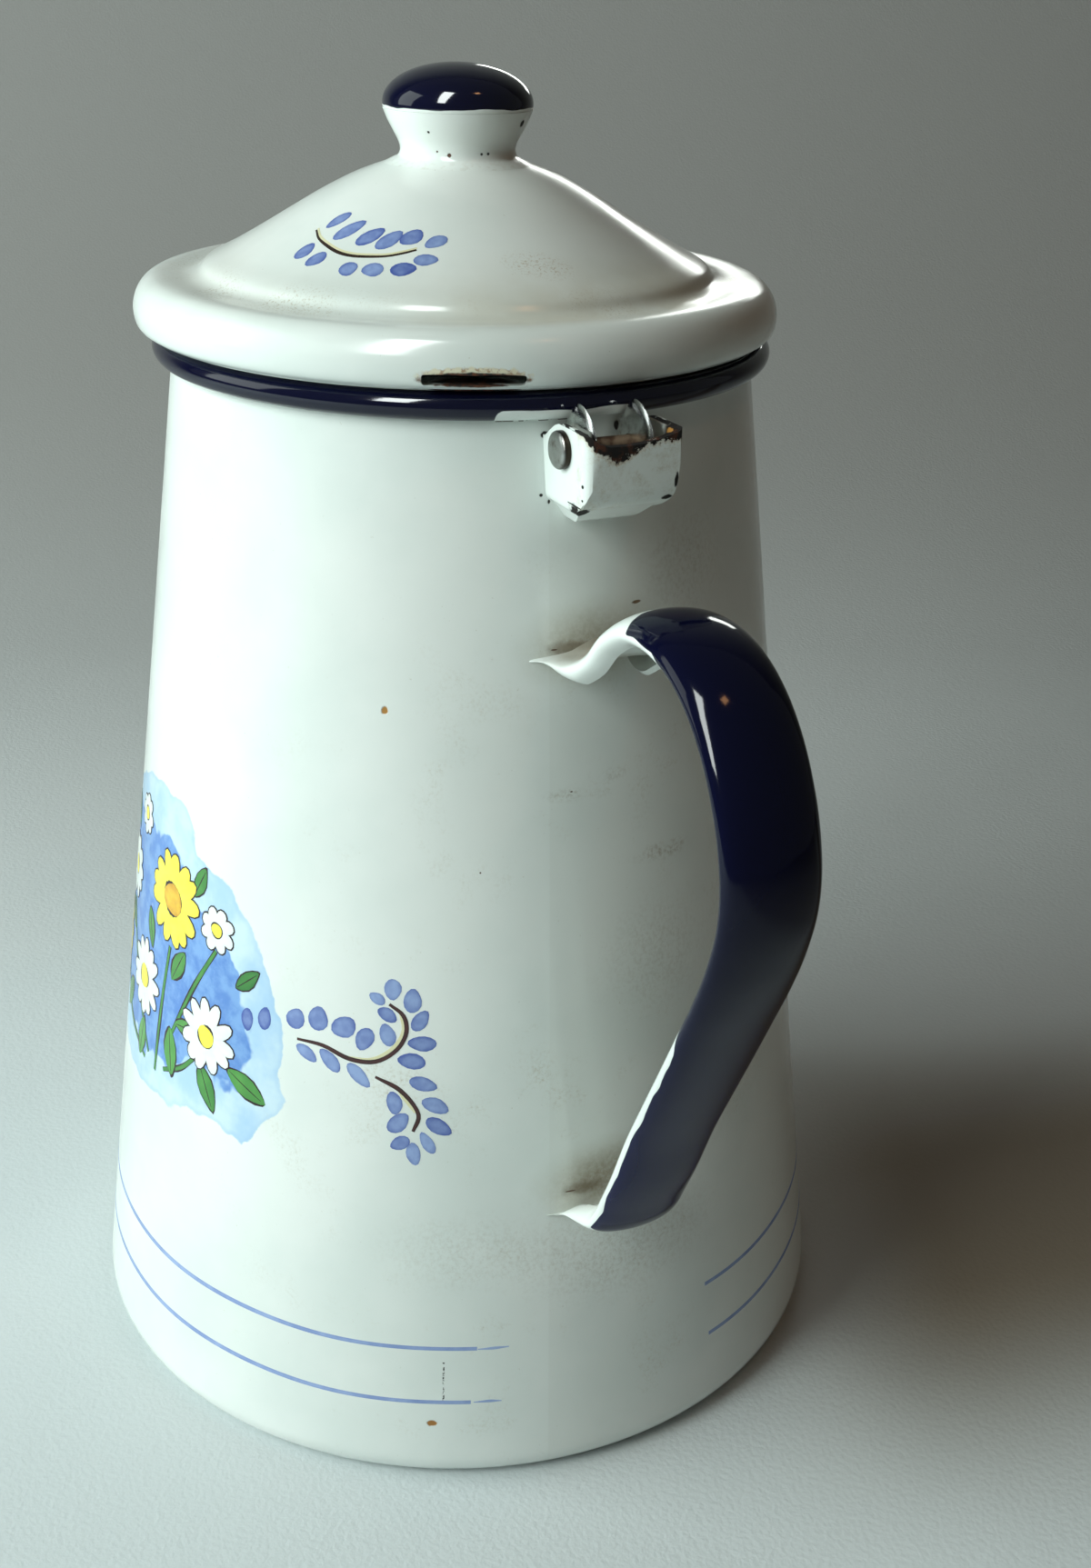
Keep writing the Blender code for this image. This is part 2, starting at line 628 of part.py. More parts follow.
def make_collar(axis):
    """A ring under the lid: a flat flange that rests on the rim, and a skirt in the mouth."""
    seat = RIM_TOP + SEAT_GAP
    top = seat + SHEET
    edge = LIP_RADIUS - SHEET - COLLAR_LIP_GAP
    skirt = MOUTH_RADIUS - COLLAR_MOUTH_GAP
    bend = arc((skirt + COLLAR_BEND, seat - COLLAR_BEND), COLLAR_BEND, math.pi / 2, math.pi, 3)
    inner = [(skirt, seat - COLLAR_SKIRT), (skirt - SHEET, seat - COLLAR_SKIRT), (skirt - SHEET, top)]
    profile = profile_mesh("lid_collar", [(edge, top), (edge, seat)] + bend + inner, closed=True)
    collar = add_piece("lid_collar", profile, WHITE_ENAMEL, 0.22, parent=axis)
    turn(collar, LID_STEPS)
    return collar


def make_neck(axis):
    """A waisted tube whose foot follows the dome."""
    foot = dome_height(NECK_FOOT_RADIUS) + SEAT_GAP
    waist = foot + NECK_WAIST_RISE
    spread, flare = NECK_TOP_RADIUS - NECK_WAIST_RADIUS, NECK_FOOT_RADIUS - NECK_WAIST_RADIUS
    outer = [(NECK_WAIST_RADIUS + spread * s ** 1.25, waist + NECK_TOP_RISE * s) for s in (1.0, 0.75, 0.5, 0.25, 0.0)]
    outer += [(NECK_WAIST_RADIUS + flare * s ** 2, waist - NECK_WAIST_RISE * s) for s in (0.4, 0.75, 1.0)]
    inner = [(radius - SHEET, height) for radius, height in outer]
    inner[-1] = (inner[-1][0], dome_height(inner[-1][0]) + SEAT_GAP)
    profile = profile_mesh("knob_neck", outer + inner[::-1], closed=True)
    neck = add_piece("knob_neck", profile, WHITE_ENAMEL, 0.18, parent=axis)
    turn(neck, KNOB_STEPS)
    return neck


def make_cap(axis):
    """A domed cap that closes the neck."""
    low = dome_height(NECK_FOOT_RADIUS) + NECK_WAIST_RISE + NECK_TOP_RISE + 2 * SEAT_GAP
    bulge = low + CAP_RIM_RISE
    points = [(CAP_RADIUS * math.sin(a) ** 0.9, bulge + CAP_DOME_RISE * math.cos(a))
              for a in (math.pi / 2 * i / CAP_STEPS for i in range(CAP_STEPS + 1))]
    points += [(NECK_TOP_RADIUS, low)]
    cap = add_piece("knob_cap", profile_mesh("knob_cap", points), NAVY_ENAMEL, 0.1, parent=axis)
    turn(cap, KNOB_STEPS)
    thicken(cap)
    return cap


def main():
    clear_scene()
    make_body()
    make_base()
    wall_cutter = body_cutter("body_wall", SEAT_GAP)
    make_spout(wall_cutter)
    make_handle(wall_cutter)
    make_bracket(wall_cutter)
    make_pin()
    make_leaf()
    lid_axis = add_empty("lid_axis", (*LID_SHIFT, 0), LID_TURN)
    make_lid(lid_axis)
    make_collar(lid_axis)
    make_neck(lid_axis)
    make_cap(lid_axis)


main()
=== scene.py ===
"""Looks of the enamel coffee pot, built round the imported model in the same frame.

Metres, +Z up. The handle and bracket lie on the +X side, the spout on the -X side. Angles round
the pot are polar angles in degrees from +X, seen from above.
"""

import math
import random

import bmesh
import bpy
from mathutils import Matrix, Vector
from mathutils import noise as noise_field


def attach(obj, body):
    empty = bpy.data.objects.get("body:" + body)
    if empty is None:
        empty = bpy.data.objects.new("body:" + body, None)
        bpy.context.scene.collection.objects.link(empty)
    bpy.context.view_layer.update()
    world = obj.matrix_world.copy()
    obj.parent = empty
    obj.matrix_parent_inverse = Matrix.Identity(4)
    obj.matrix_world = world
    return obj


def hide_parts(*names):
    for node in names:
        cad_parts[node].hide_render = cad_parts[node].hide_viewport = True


MM = 0.001
SHEET = 1.0 * MM
SEED = 7

# Body, from the part's own values
BASE_RADIUS = 76.2 * MM
TAPER_SHARE = 0.1256
RIM_HEIGHT = 196.8 * MM
BEAD_RADIUS = 2.27 * MM
FOOT_CORNER = 5.0 * MM
FOOT_LIP = 10.0 * MM
WALL_ANGLE = math.atan(TAPER_SHARE)
CURL_ANGLE = math.radians(300)
BODY_STEPS = 240

# Lid, from the part's own values
LID_TURN = math.radians(-20.2)
LID_SHIFT = Vector((-0.4 * MM, -0.9 * MM, 0))
LID_STEPS = 216

CAMERA_AZIMUTH = 67.0
CAMERA_POLAR = -23.0

ENAMEL_WHITE = (0.83, 0.87, 0.84)
ENAMEL_SHADE = (0.74, 0.80, 0.77)
NAVY = (0.0022, 0.0030, 0.018)
PERIWINKLE = (0.075, 0.120, 0.40)
PERIWINKLE_PALE = (0.30, 0.41, 0.70)
# Pale and dark tone of the yellow line beside the stems
GLOW = ((0.78, 0.76, 0.52), (0.70, 0.66, 0.36))
RUST = (0.085, 0.032, 0.012)
CHAR = (0.012, 0.010, 0.009)


def wall_radius(height):
    """Outside radius of the body's cone."""
    return BASE_RADIUS - TAPER_SHARE * height


MOUTH_RADIUS = wall_radius(RIM_HEIGHT) - SHEET / math.cos(WALL_ANGLE)
BEAD_CENTRE = MOUTH_RADIUS + BEAD_RADIUS / math.cos(WALL_ANGLE)
RIM_TOP = RIM_HEIGHT + BEAD_RADIUS
FOOT_EDGE = wall_radius(0) - FOOT_LIP


# Shader helpers


class Value:
    """A value in a material. Adding, subtracting and multiplying it adds the nodes that do so."""

    def __init__(self, shade, socket):
        self.shade = shade
        self.socket = socket

    def __add__(self, other):
        return self.shade.math("ADD", self, other)

    def __sub__(self, other):
        return self.shade.math("SUBTRACT", self, other)

    def __rsub__(self, other):
        return self.shade.math("SUBTRACT", other, self)

    def __mul__(self, other):
        return self.shade.math("MULTIPLY", self, other)

    def __abs__(self):
        return self.shade.math("ABSOLUTE", self)


class Shade:
    """A material with its layers and short ways to add nodes. Coordinates are the object's own."""

    def __init__(self, name, roughness=0.2, metallic=0.0):
        self.material = bpy.data.materials.new(name)
        self.material.use_nodes = True
        self.tree = self.material.node_tree
        self.shader = self.tree.nodes["Principled BSDF"]
        self.shader.inputs["Roughness"].default_value = roughness
        self.shader.inputs["Metallic"].default_value = metallic
        self.place = self.node("ShaderNodeTexCoord", {}, "Object")

    def node(self, kind, inputs, out=0, **settings):
        node = self.tree.nodes.new(kind)
        for key, value in settings.items():
            setattr(node, key, value)
        for key, value in inputs.items():
            self.plug(node.inputs[key], value)
        return Value(self, node.outputs[out])

    def plug(self, socket, value):
        if isinstance(value, Value):
            self.tree.links.new(value.socket, socket)
        elif socket.type == "RGBA":
            socket.default_value = (*value, 1.0)
        else:
            socket.default_value = value

    def math(self, operation, one, two=0.0, clamp=False):
        return self.node("ShaderNodeMath", {0: one, 1: two}, operation=operation, use_clamp=clamp)

    def vector(self, operation, one, two, out=0):
        return self.node("ShaderNodeVectorMath", {0: one, 1: two}, out, operation=operation)

    def noise(self, scale, detail=2.0, rough=0.5, place=None):
        inputs = {"Vector": place or self.place, "Scale": scale, "Detail": detail, "Roughness": rough}
        return self.node("ShaderNodeTexNoise", inputs, "Fac")

    def ramp(self, value, low, high, start=0.0, end=1.0):
        """Smooth step from start to end as the value goes from low to high."""
        inputs = {"Value": value, "From Min": low, "From Max": high, "To Min": start, "To Max": end}
        return self.node("ShaderNodeMapRange", inputs, interpolation_type="SMOOTHSTEP")

    def patchy(self, scale, detail, low, high, rough=0.5, start=0.0, end=1.0):
        """Noise, spread from start to end between its low and high values."""
        return self.ramp(self.noise(scale, detail, rough), low, high, start, end)

    def mix(self, share, one, two):
        return self.node("ShaderNodeMix", {0: share, 6: one, 7: two}, 2, data_type="RGBA")

    def blend(self, share, one, two):
        return self.node("ShaderNodeMix", {0: share, 2: one, 3: two})

    def split(self):
        """The place's three coordinates on the piece, and its distance from the upright axis."""
        parts = self.tree.nodes.new("ShaderNodeSeparateXYZ")
        self.plug(parts.inputs[0], self.place)
        x, y, z = (Value(self, part) for part in parts.outputs)
        return x, y, z, self.math("SQRT", x * x + y * y)

    def spot(self, centre, size, jag=0.35, soft=0.25, grain=900.0):
        """1 inside a ragged blob round the centre, 0 outside."""
        scaled = self.vector("DIVIDE", self.vector("SUBTRACT", self.place, centre), size)
        length = self.vector("LENGTH", scaled, (0, 0, 0), "Value")
        return self.ramp(length + (self.noise(grain, 3.0) * (2 * jag) - jag), 1.0 + soft, 1.0 - soft)

    def attribute(self, name):
        return self.node("ShaderNodeAttribute", {}, "Fac", attribute_name=name)

    def tint(self, mask, tint):
        self.colour = self.mix(mask, self.colour, tint)

    def paint(self, mask, rough, tint=NAVY):
        """Changes colour and roughness where the mask is 1."""
        self.tint(mask, tint)
        self.rough = self.blend(mask, self.rough, rough)

    def lay(self, mask, tint, rough, depth):
        """Changes them and sinks the surface where the mask is 1."""
        self.paint(mask, rough, tint)
        self.height = self.height - mask * depth

    def close(self, distance=0.0002):
        """Plugs the layers into the shader."""
        self.plug(self.shader.inputs["Base Color"], self.colour)
        self.plug(self.shader.inputs["Roughness"], self.rough)
        bump = {"Height": self.height, "Strength": 1.0, "Distance": distance}
        self.plug(self.shader.inputs["Normal"], self.node("ShaderNodeBump", bump, "Normal"))
        return self.material


def enamel(name, specular=None):
    """White enamel: slight shade differences, orange peel and a soft unevenness."""
    shade = Shade(name)
    shade.colour = shade.mix(shade.patchy(28.0, 4.0, 0.35, 0.70), ENAMEL_WHITE, ENAMEL_SHADE)
    shade.tint(shade.patchy(1500.0, 2.0, 0.74, 0.80) * 0.35, (0.42, 0.38, 0.28))
    shade.rough = shade.patchy(60.0, 3.0, 0.3, 0.75, start=0.13, end=0.24)
    shade.height = shade.noise(420.0, 2.0) * 0.05 + shade.noise(40.0, 1.0) * 0.8
    if specular:
        shade.shader.inputs["Specular IOR Level"].default_value = specular
    return shade


# Mesh helpers


def bare(name, bm, closed=True):
    """An object made of the mesh alone. A closed mesh gets its faces turned outwards."""
    if closed:
        bmesh.ops.recalc_face_normals(bm, faces=bm.faces)
    mesh = bpy.data.meshes.new(name)
    bm.to_mesh(mesh)
    bm.free()
    piece = bpy.data.objects.new(name, mesh)
    bpy.context.scene.collection.objects.link(piece)
    return piece


def finish_mesh(name, bm, shade, body, node=None, smooth_angle=35, place=None):
    """Makes the piece, gives it its material and lets it ride on its body."""
    piece = bare(name, bm)
    piece.data.shade_smooth()
    piece.data.set_sharp_from_angle(angle=math.radians(smooth_angle))
    piece.data.materials.append(shade.close())
    if place is not None:
        piece.matrix_world = place
    if node:
        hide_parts(node)
    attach(piece, body)
    return piece


def skin(bm, rings, capped=True):
    """Faces from each ring of vertices to the next, and over both ends where it is capped."""
    for low, high in zip(rings, rings[1:]):
        for k in range(len(low)):
            j = (k + 1) % len(low)
            bm.faces.new((low[k], low[j], high[j], high[k]))
    if capped:
        bm.faces.new(rings[0])
        bm.faces.new(reversed(rings[-1]))


def arc(centre, radius, start, end, steps):
    angles = [start + (end - start) * i / steps for i in range(steps + 1)]
    return [Vector((centre[0] + radius * math.cos(a), centre[1] + radius * math.sin(a))) for a in angles]


def quarter(steps, first=0):
    """Angles from 0 to a right angle."""
    return [math.pi / 2 * i / steps for i in range(first, steps + 1)]


def smooth(points, per_span):
    """A smooth line through the points, with spans of uneven length."""
    points = [Vector(point) for point in points]
    line = []
    for k in range(len(points) - 1):
        p1, p2 = points[k], points[k + 1]
        p0 = points[k - 1] if k else p1 - (p2 - p1)
        p3 = points[k + 2] if k + 2 < len(points) else p2 + (p2 - p1)
        a, b, c = (max((q - p).length, 1e-7) ** 0.5 for p, q in ((p0, p1), (p1, p2), (p2, p3)))
        lean1 = (p1 - p0) / a - (p2 - p0) / (a + b) + (p2 - p1) / b
        lean2 = (p2 - p1) / b - (p3 - p1) / (b + c) + (p3 - p2) / c
        for i in range(per_span):
            t = i / per_span
            line.append((2 * t ** 3 - 3 * t ** 2 + 1) * p1 + (t ** 3 - 2 * t ** 2 + t) * b * lean1
                        + (3 * t ** 2 - 2 * t ** 3) * p2 + (t ** 3 - t ** 2) * b * lean2)
    line.append(points[-1])
    return line


def offset_line(line, distance):
    """The line moved to its right, seen along its run."""
    moved = []
    for i, point in enumerate(line):
        run = (line[min(i + 1, len(line) - 1)] - line[max(i - 1, 0)]).normalized()
        moved.append(point + Vector((run.y, -run.x)) * distance)
    return moved


def lathe(profile, steps):
    """Turns a closed (radius, height) profile round Z. Points on the axis become one vertex."""
    bm = bmesh.new()
    rings = []
    for radius, height in profile:
        if radius < 1e-6:
            rings.append([bm.verts.new((0, 0, height))])
        else:
            turns = (2 * math.pi * k / steps for k in range(steps))
            places = ((radius * math.cos(a), radius * math.sin(a), height) for a in turns)
            rings.append([bm.verts.new(place) for place in places])
    for low, high in zip(rings, rings[1:] + rings[:1]):
        for k in range(steps):
            j = (k + 1) % steps
            corners = [low[k % len(low)], low[j % len(low)], high[j % len(high)], high[k % len(high)]]
            corners = list(dict.fromkeys(corners))
            if len(corners) > 2:
                bm.faces.new(corners)
    return bm


def set_share(piece, name, values):
    layer = piece.data.attributes.new(name, "FLOAT", "POINT")
    layer.data.foreach_set("value", values)


# Places on the pot that decoration is laid on


def on_wall(turn, height, lift):
    """A place on the body's wall, from a polar angle in degrees and a height in millimetres."""
    a = math.radians(turn)
    radius = wall_radius(height * MM) + lift * math.cos(WALL_ANGLE)
    return Vector((radius * math.cos(a), radius * math.sin(a), height * MM + lift * math.sin(WALL_ANGLE)))


def wall_step(turn, height, across, up):
    """Moves across and up the wall, in millimetres."""
    return turn + math.degrees(across * MM / wall_radius(height * MM)), height + up * math.cos(WALL_ANGLE)


# Line of the lid's dome: share of its run, share of its rise
DOME_SHARES = (
    (0.00, 1.000), (0.11, 0.990), (0.24, 0.902), (0.38, 0.786), (0.52, 0.626), (0.66, 0.438), (0.79, 0.262),
    (0.90, 0.120), (1.00, 0.000),
)
LIP_RADIUS = BEAD_CENTRE + BEAD_RADIUS
LIP_HEIGHT = RIM_TOP + 0.8 * MM
LID_RADIUS = LIP_RADIUS + 1.8 * MM
BULGE_HEIGHT = LIP_HEIGHT + 3.2 * MM
LID_ROLL_RISE = 5.7 * MM
LID_ROLL_RUN = 4.9 * MM
CREST_RADIUS = LID_RADIUS - LID_ROLL_RUN
CREST_HEIGHT = BULGE_HEIGHT + LID_ROLL_RISE
GROOVE_RADIUS = CREST_RADIUS - 4.7 * MM
SHOULDER_RADIUS = GROOVE_RADIUS - 3.2 * MM
LID_STEP_RISE = 2.1 * MM
SHOULDER_HEIGHT = CREST_HEIGHT + LID_STEP_RISE
LID_DOME_RISE = 18.3 * MM
VENT_RADIUS = 2.0 * MM


def lid_outer():
    """Outer line of the lid from the vent to the lip."""
    run = SHOULDER_RADIUS - VENT_RADIUS
    dome = [(VENT_RADIUS + run * across, SHOULDER_HEIGHT + LID_DOME_RISE * up)
            for across, up in DOME_SHARES]
    dip = [(SHOULDER_RADIUS + 1.44 * MM, CREST_HEIGHT + LID_STEP_RISE * 0.30),
           (GROOVE_RADIUS, CREST_HEIGHT), (CREST_RADIUS, CREST_HEIGHT)]
    roll = [(CREST_RADIUS + LID_ROLL_RUN * math.sin(a), BULGE_HEIGHT + LID_ROLL_RISE * math.cos(a))
            for a in quarter(5, 1)]
    under = [(LIP_RADIUS + 1.8 * MM * math.cos(a), BULGE_HEIGHT - 3.2 * MM * math.sin(a))
             for a in (math.pi / 4, math.pi / 2)]
    return smooth(dome + dip + roll + under, 6)


LID_LINE = lid_outer()


def on_lid(across, out, lift):
    """A place on the lid's dome from plan coordinates in millimetres, in the lid's own frame."""
    radius = math.hypot(across, out) * MM
    for near, far in zip(LID_LINE, LID_LINE[1:]):
        if near.x <= radius <= far.x:
            share = (radius - near.x) / (far.x - near.x)
            run = (far - near).normalized()
            height = near.y + (far.y - near.y) * share
            out_by = Vector((-run.y, run.x)) * lift
            grow = (radius + out_by.x) / radius
            return Vector((across * MM * grow, out * MM * grow, height + out_by.y))
    return Vector((across * MM, out * MM, LID_LINE[0].y + lift))


def lid_step(across, out, right, up):
    """Moves round and up the dome, in millimetres."""
    radius = max(math.hypot(across, out), 1e-3)
    c, s = across / radius, out / radius
    return across - s * right - c * up * 0.86, out + c * right - s * up * 0.86


# How far the slabs of the decoration reach into the surface below them
DECAL_SINK = -0.05 * MM


class Decals:
    """Thin closed slabs laid on a surface, all in one mesh, with a tone and an edge share."""

    def __init__(self, place, step):
        self.place = place
        self.step = step
        self.bm = bmesh.new()
        self.tones = []
        self.edges = []
        self.random = random.Random(SEED)

    def corner(self, at, lift, tone, edge):
        vert = self.bm.verts.new(self.place(at[0], at[1], lift))
        self.tones.append(tone)
        self.edges.append(edge)
        return vert

    def blob(self, at, outline, lift, tone):
        """A slab with a round-edged outline given in millimetres about its centre."""
        rings = []
        for share, height, edge in ((0.55, lift, 0.0), (0.85, lift, 0.45), (1.0, lift * 0.85, 1.0),
                                    (1.0, DECAL_SINK, 1.0)):
            places = [self.step(*at, x * share, y * share) for x, y in outline]
            rings.append([self.corner(place, height, tone, edge) for place in places])
        top = self.corner(at, lift, tone, 0.0)
        low = self.corner(at, DECAL_SINK, tone, 0.0)
        count = len(outline)
        for k in range(count):
            j = (k + 1) % count
            self.bm.faces.new((top, rings[0][k], rings[0][j]))
            self.bm.faces.new((low, rings[-1][j], rings[-1][k]))
            for inner, outer in zip(rings, rings[1:]):
                self.bm.faces.new((inner[k], outer[k], outer[j], inner[j]))

    def leaf(self, at, length, width, tilt, lift, tone=None, point=0.30, grow=0.0, steps=14):
        """An oval leaf with a hand-drawn wobble. The tilt is its long axis above the horizontal."""
        tone = self.random.random() if tone is None else tone
        lean = math.radians(tilt)
        phase = self.random.uniform(0, 6.28)
        outline = []
        for k in range(steps):
            a = 2 * math.pi * k / steps
            wobble = 1 + 0.05 * math.sin(2 * a + phase) + 0.04 * math.sin(3 * a + 2 * phase)
            x = (length / 2 + grow) * math.cos(a) * wobble
            y = (width / 2 + grow) * math.sin(a) * wobble * (1 - point * math.cos(a) ** 2)
            outline.append((x * math.cos(lean) - y * math.sin(lean),
                            x * math.sin(lean) + y * math.cos(lean)))
        self.blob(at, outline, lift, tone)

    def petals(self, at, count, length, width, lift, tone, grow=0.0, phase=0.0, squash=1.0):
        """Petals round a middle. Their tips lie at the given length from it."""
        for k in range(count):
            turn = 360 * k / count + phase + self.random.uniform(-5, 5)
            reach = length * 0.58 * self.random.uniform(0.94, 1.04)
            across = reach * math.cos(math.radians(turn)) * squash
            up = reach * math.sin(math.radians(turn))
            self.leaf(self.step(*at, across, up), length * 0.84, width, turn, lift, tone, -0.25, grow)

    def disc(self, at, radius, lift, tone, grow=0.0):
        self.leaf(at, 2 * radius, 1.9 * radius, 0, lift, tone, 0.0, grow, 18)

    def ribbon(self, path, width, lift, tone=0.5, taper=1.0, per_span=5):
        """A brush line along a path of places, thinner towards its ends."""
        line = smooth([Vector(point) for point in path], per_span)
        rows = []
        for i, at in enumerate(line):
            near, far = line[max(i - 1, 0)], line[min(i + 1, len(line) - 1)]
            here = self.place(*at, 0.0)
            run = (self.place(*far, 0.0) - self.place(*near, 0.0)).normalized()
            normal = (self.place(*at, MM) - here).normalized()
            side = run.cross(normal)
            share = i / (len(line) - 1)
            swell = (1 - taper) + taper * math.sin(math.pi * min(max(share, 0.04), 0.96)) ** 0.5
            swell *= 1 + 0.12 * math.sin(9.0 * share + width * 7)
            half = width / 2 * MM * swell
            row = []
            for across, height, edge in ((-1, DECAL_SINK, 1), (-1, lift * 0.85, 1), (0, lift, 0),
                                         (1, lift * 0.85, 1), (1, DECAL_SINK, 1)):
                row.append(self.bm.verts.new(here + side * half * across + normal * height))
                self.tones.append(tone)
                self.edges.append(edge)
            rows.append(row)
        skin(self.bm, rows)

    def close(self, name, material, body, place=None):
        piece = finish_mesh(name, self.bm, material, body, smooth_angle=60, place=place)
        set_share(piece, "tone", self.tones)
        set_share(piece, "edge", self.edges)
        return piece


def ink(name, pale, dark, edge_share=0.55, grain=500.0):
    """Fired colour under the glaze: washy, and darker where the brush lifted."""
    shade = Shade(name, 0.16)
    share = shade.attribute("tone") * 0.55 + shade.attribute("edge") * edge_share
    washy = (shade.patchy(grain, 3.0, 0.3, 0.7) - 0.5) * 0.35
    shade.colour = shade.mix(shade.math("ADD", share, washy, clamp=True), pale, dark)
    shade.rough = shade.patchy(60.0, 3.0, 0.3, 0.75, start=0.13, end=0.24)
    shade.height = shade.noise(420.0, 2.0) * 0.05
    return shade


# Body


def body_profile():
    """Closed line of the sheet: outer face up, round the curl and back down the inner face."""
    corner = wall_radius(FOOT_CORNER) - FOOT_CORNER / math.cos(WALL_ANGLE)
    start = math.pi + WALL_ANGLE
    outer = [Vector((FOOT_EDGE, 0))]
    outer += arc((corner, FOOT_CORNER), FOOT_CORNER, -math.pi / 2, WALL_ANGLE, 14)
    low = outer[-1]
    top = Vector((wall_radius(RIM_HEIGHT), RIM_HEIGHT))
    cone = [low.lerp(top, i / 110) for i in range(1, 110)]
    curl_in = arc((BEAD_CENTRE, RIM_HEIGHT), BEAD_RADIUS - SHEET, start, start - CURL_ANGLE, 22)
    curl_out = arc((BEAD_CENTRE, RIM_HEIGHT), BEAD_RADIUS, start - CURL_ANGLE, start, 44)
    foot = arc((corner, FOOT_CORNER), FOOT_CORNER - SHEET, WALL_ANGLE, -math.pi / 2, 8)
    inner = [curl_out[-1].lerp(foot[0], i / 20) for i in range(1, 20)]
    return outer + cone + curl_in + curl_out + inner + foot + [Vector((FOOT_EDGE, SHEET))]


# Depth inside a paint, in millimetres, where there is none of it
BARE = -2.0


def bead_paint(position):
    """Distance inside the navy on the bead, in millimetres, below 0 where it is white."""
    radius = math.hypot(position.x, position.y)
    polar = math.degrees(math.atan2(position.y, position.x))
    round_bead = math.degrees(math.atan2(position.z - RIM_HEIGHT, radius - BEAD_CENTRE))
    arc_mm = BEAD_RADIUS / MM * math.radians(1)
    wobble = noise_field.noise(Vector((position.x, position.y, 0)) * 160) * 10
    beside = (min(abs(polar + 4.6), 40) - 13.1) * math.radians(1) * LIP_RADIUS / MM
    low_edge = -100 if beside > 0 else -8
    below = (round_bead - low_edge + wobble) * arc_mm
    if beside > 0:
        below = min(below, 6.0) if round_bead > -8 else min(below, beside)
    inside = (168 - round_bead + wobble) * arc_mm if round_bead > 0 else 6.0
    if round_bead < -150:
        return BARE
    return min(below, inside)


# Edge of the blue wash: polar angle, height
WASH_EDGE = (
    (-88.0, 121.5), (-82.0, 120.6), (-76.3, 120.4), (-72.8, 116.5), (-72.6, 113.4), (-68.8, 112.0),
    (-63.0, 109.7), (-58.8, 104.3), (-56.2, 100.0), (-54.2, 96.3), (-53.3, 90.6), (-50.8, 82.6),
    (-51.9, 77.9), (-50.5, 72.9), (-54.5, 67.9), (-58.1, 61.8), (-64.6, 63.3), (-71.4, 63.4), (-75.2, 60.4),
    (-83.4, 59.4), (-91.4, 59.2), (-102.7, 60.5), (-112.0, 62.0), (-121.0, 66.0), (-127.5, 72.0),
    (-129.0, 80.0), (-126.0, 90.0), (-122.5, 99.0), (-116.0, 107.0), (-108.0, 113.5), (-99.0, 118.0),
)


def wash_depth(position):
    """How far inside the blue wash a place on the wall is, in millimetres, below 0 outside."""
    polar = math.degrees(math.atan2(position.y, position.x))
    up = position.z / MM
    radius = math.hypot(position.x, position.y)
    if not (-140 < polar < -38 and 45 < up < 135) or radius < wall_radius(position.z) - 0.5 * SHEET:
        return -12.0
    scale = math.radians(1) * radius / MM
    here = Vector((polar * scale, up))
    edge = [Vector((turn * scale, z)) for turn, z in WASH_EDGE]
    nearest = 12.0
    inside = False
    for a, b in zip(edge, edge[1:] + edge[:1]):
        along = min(max((here - a).dot(b - a) / (b - a).length_squared, 0), 1)
        nearest = min(nearest, (here - a.lerp(b, along)).length)
        if (a.y > here.y) != (b.y > here.y) and here.x < a.x + (b.x - a.x) * (here.y - a.y) / (b.y - a.y):
            inside = not inside
    return nearest if inside else -nearest


def make_body():
    bm = lathe(body_profile(), BODY_STEPS)
    body = finish_mesh("body_enamel", bm, body_material(), "pot", "body_shell")
    near_rim = RIM_HEIGHT - 3 * MM
    set_share(body, "navy", [bead_paint(v.co) if v.co.z > near_rim else BARE for v in body.data.vertices])
    set_share(body, "wash", [wash_depth(v.co) for v in body.data.vertices])


def body_material():
    shade = enamel("wall_enamel")
    across, deep, up = shade.split()[:3]
    wash_over(shade, up)
    stain_wall(shade)
    turn = shade.math("DEGREES", shade.math("ARCTAN2", deep, across))
    # A faint darker tone that starts at a slanted upright line and fades out towards larger polar angles.
    slant_tone = turn - up * 12.5
    shade.tint(shade.ramp(slant_tone, -10.55, -10.20) * shade.ramp(slant_tone, 30.0, -10.0) * 0.06, (0.34, 0.29, 0.20))
    dots = shade.ramp(up, 0.0175, 0.0180) * shade.ramp(up, 0.0262, 0.0257)
    dots = dots * shade.ramp(abs(turn + 25.3), 0.16, 0.10)
    shade.tint(dots * shade.patchy(2400.0, 1.0, 0.50, 0.56), CHAR)
    crack = shade.ramp(abs(up - 194.2 * MM), 0.13 * MM, 0.07 * MM) * shade.patchy(700.0, 1.0, 0.44, 0.50)
    shade.tint(crack * shade.ramp(abs(turn + 9.0), 9.0, 8.0), (0.10, 0.09, 0.07))
    shade.paint(shade.ramp(shade.attribute("navy"), -0.06, 0.06), 0.09)
    return shade


def wash_over(shade, up):
    """The blue wash, with a darker patch in its middle and a ragged, pooled edge."""
    depth = shade.attribute("wash")
    near_edge = depth + (shade.noise(190.0, 3.0) - 0.5) * 3.6
    blue = shade.mix(shade.patchy(75.0, 4.0, 0.36, 0.64, 0.6), (0.60, 0.76, 0.86), (0.42, 0.62, 0.83))
    blue = shade.mix(shade.ramp(near_edge, 1.3, 0.2) * 0.35, blue, (0.36, 0.55, 0.78))
    patch = depth + (shade.noise(90.0, 3.0) - 0.5) * 24.0 - abs(up - 0.088) * 90.0
    strokes = shade.mix(shade.patchy(260.0, 4.0, 0.35, 0.65, 0.6), (0.11, 0.25, 0.62), (0.20, 0.38, 0.72))
    blue = shade.mix(shade.ramp(patch, 6.0, 7.2), blue, strokes)
    shade.tint(shade.ramp(near_edge, -0.15, 0.25), blue)


# Stains at the handle's roots: centre, size, strength
ROOT_STAINS = (((58.2, -0.5, 157.8), (5.0, 10.0, 5.2), 0.80), ((69.6, -0.5, 60.0), (5.0, 10.0, 5.6), 0.85))
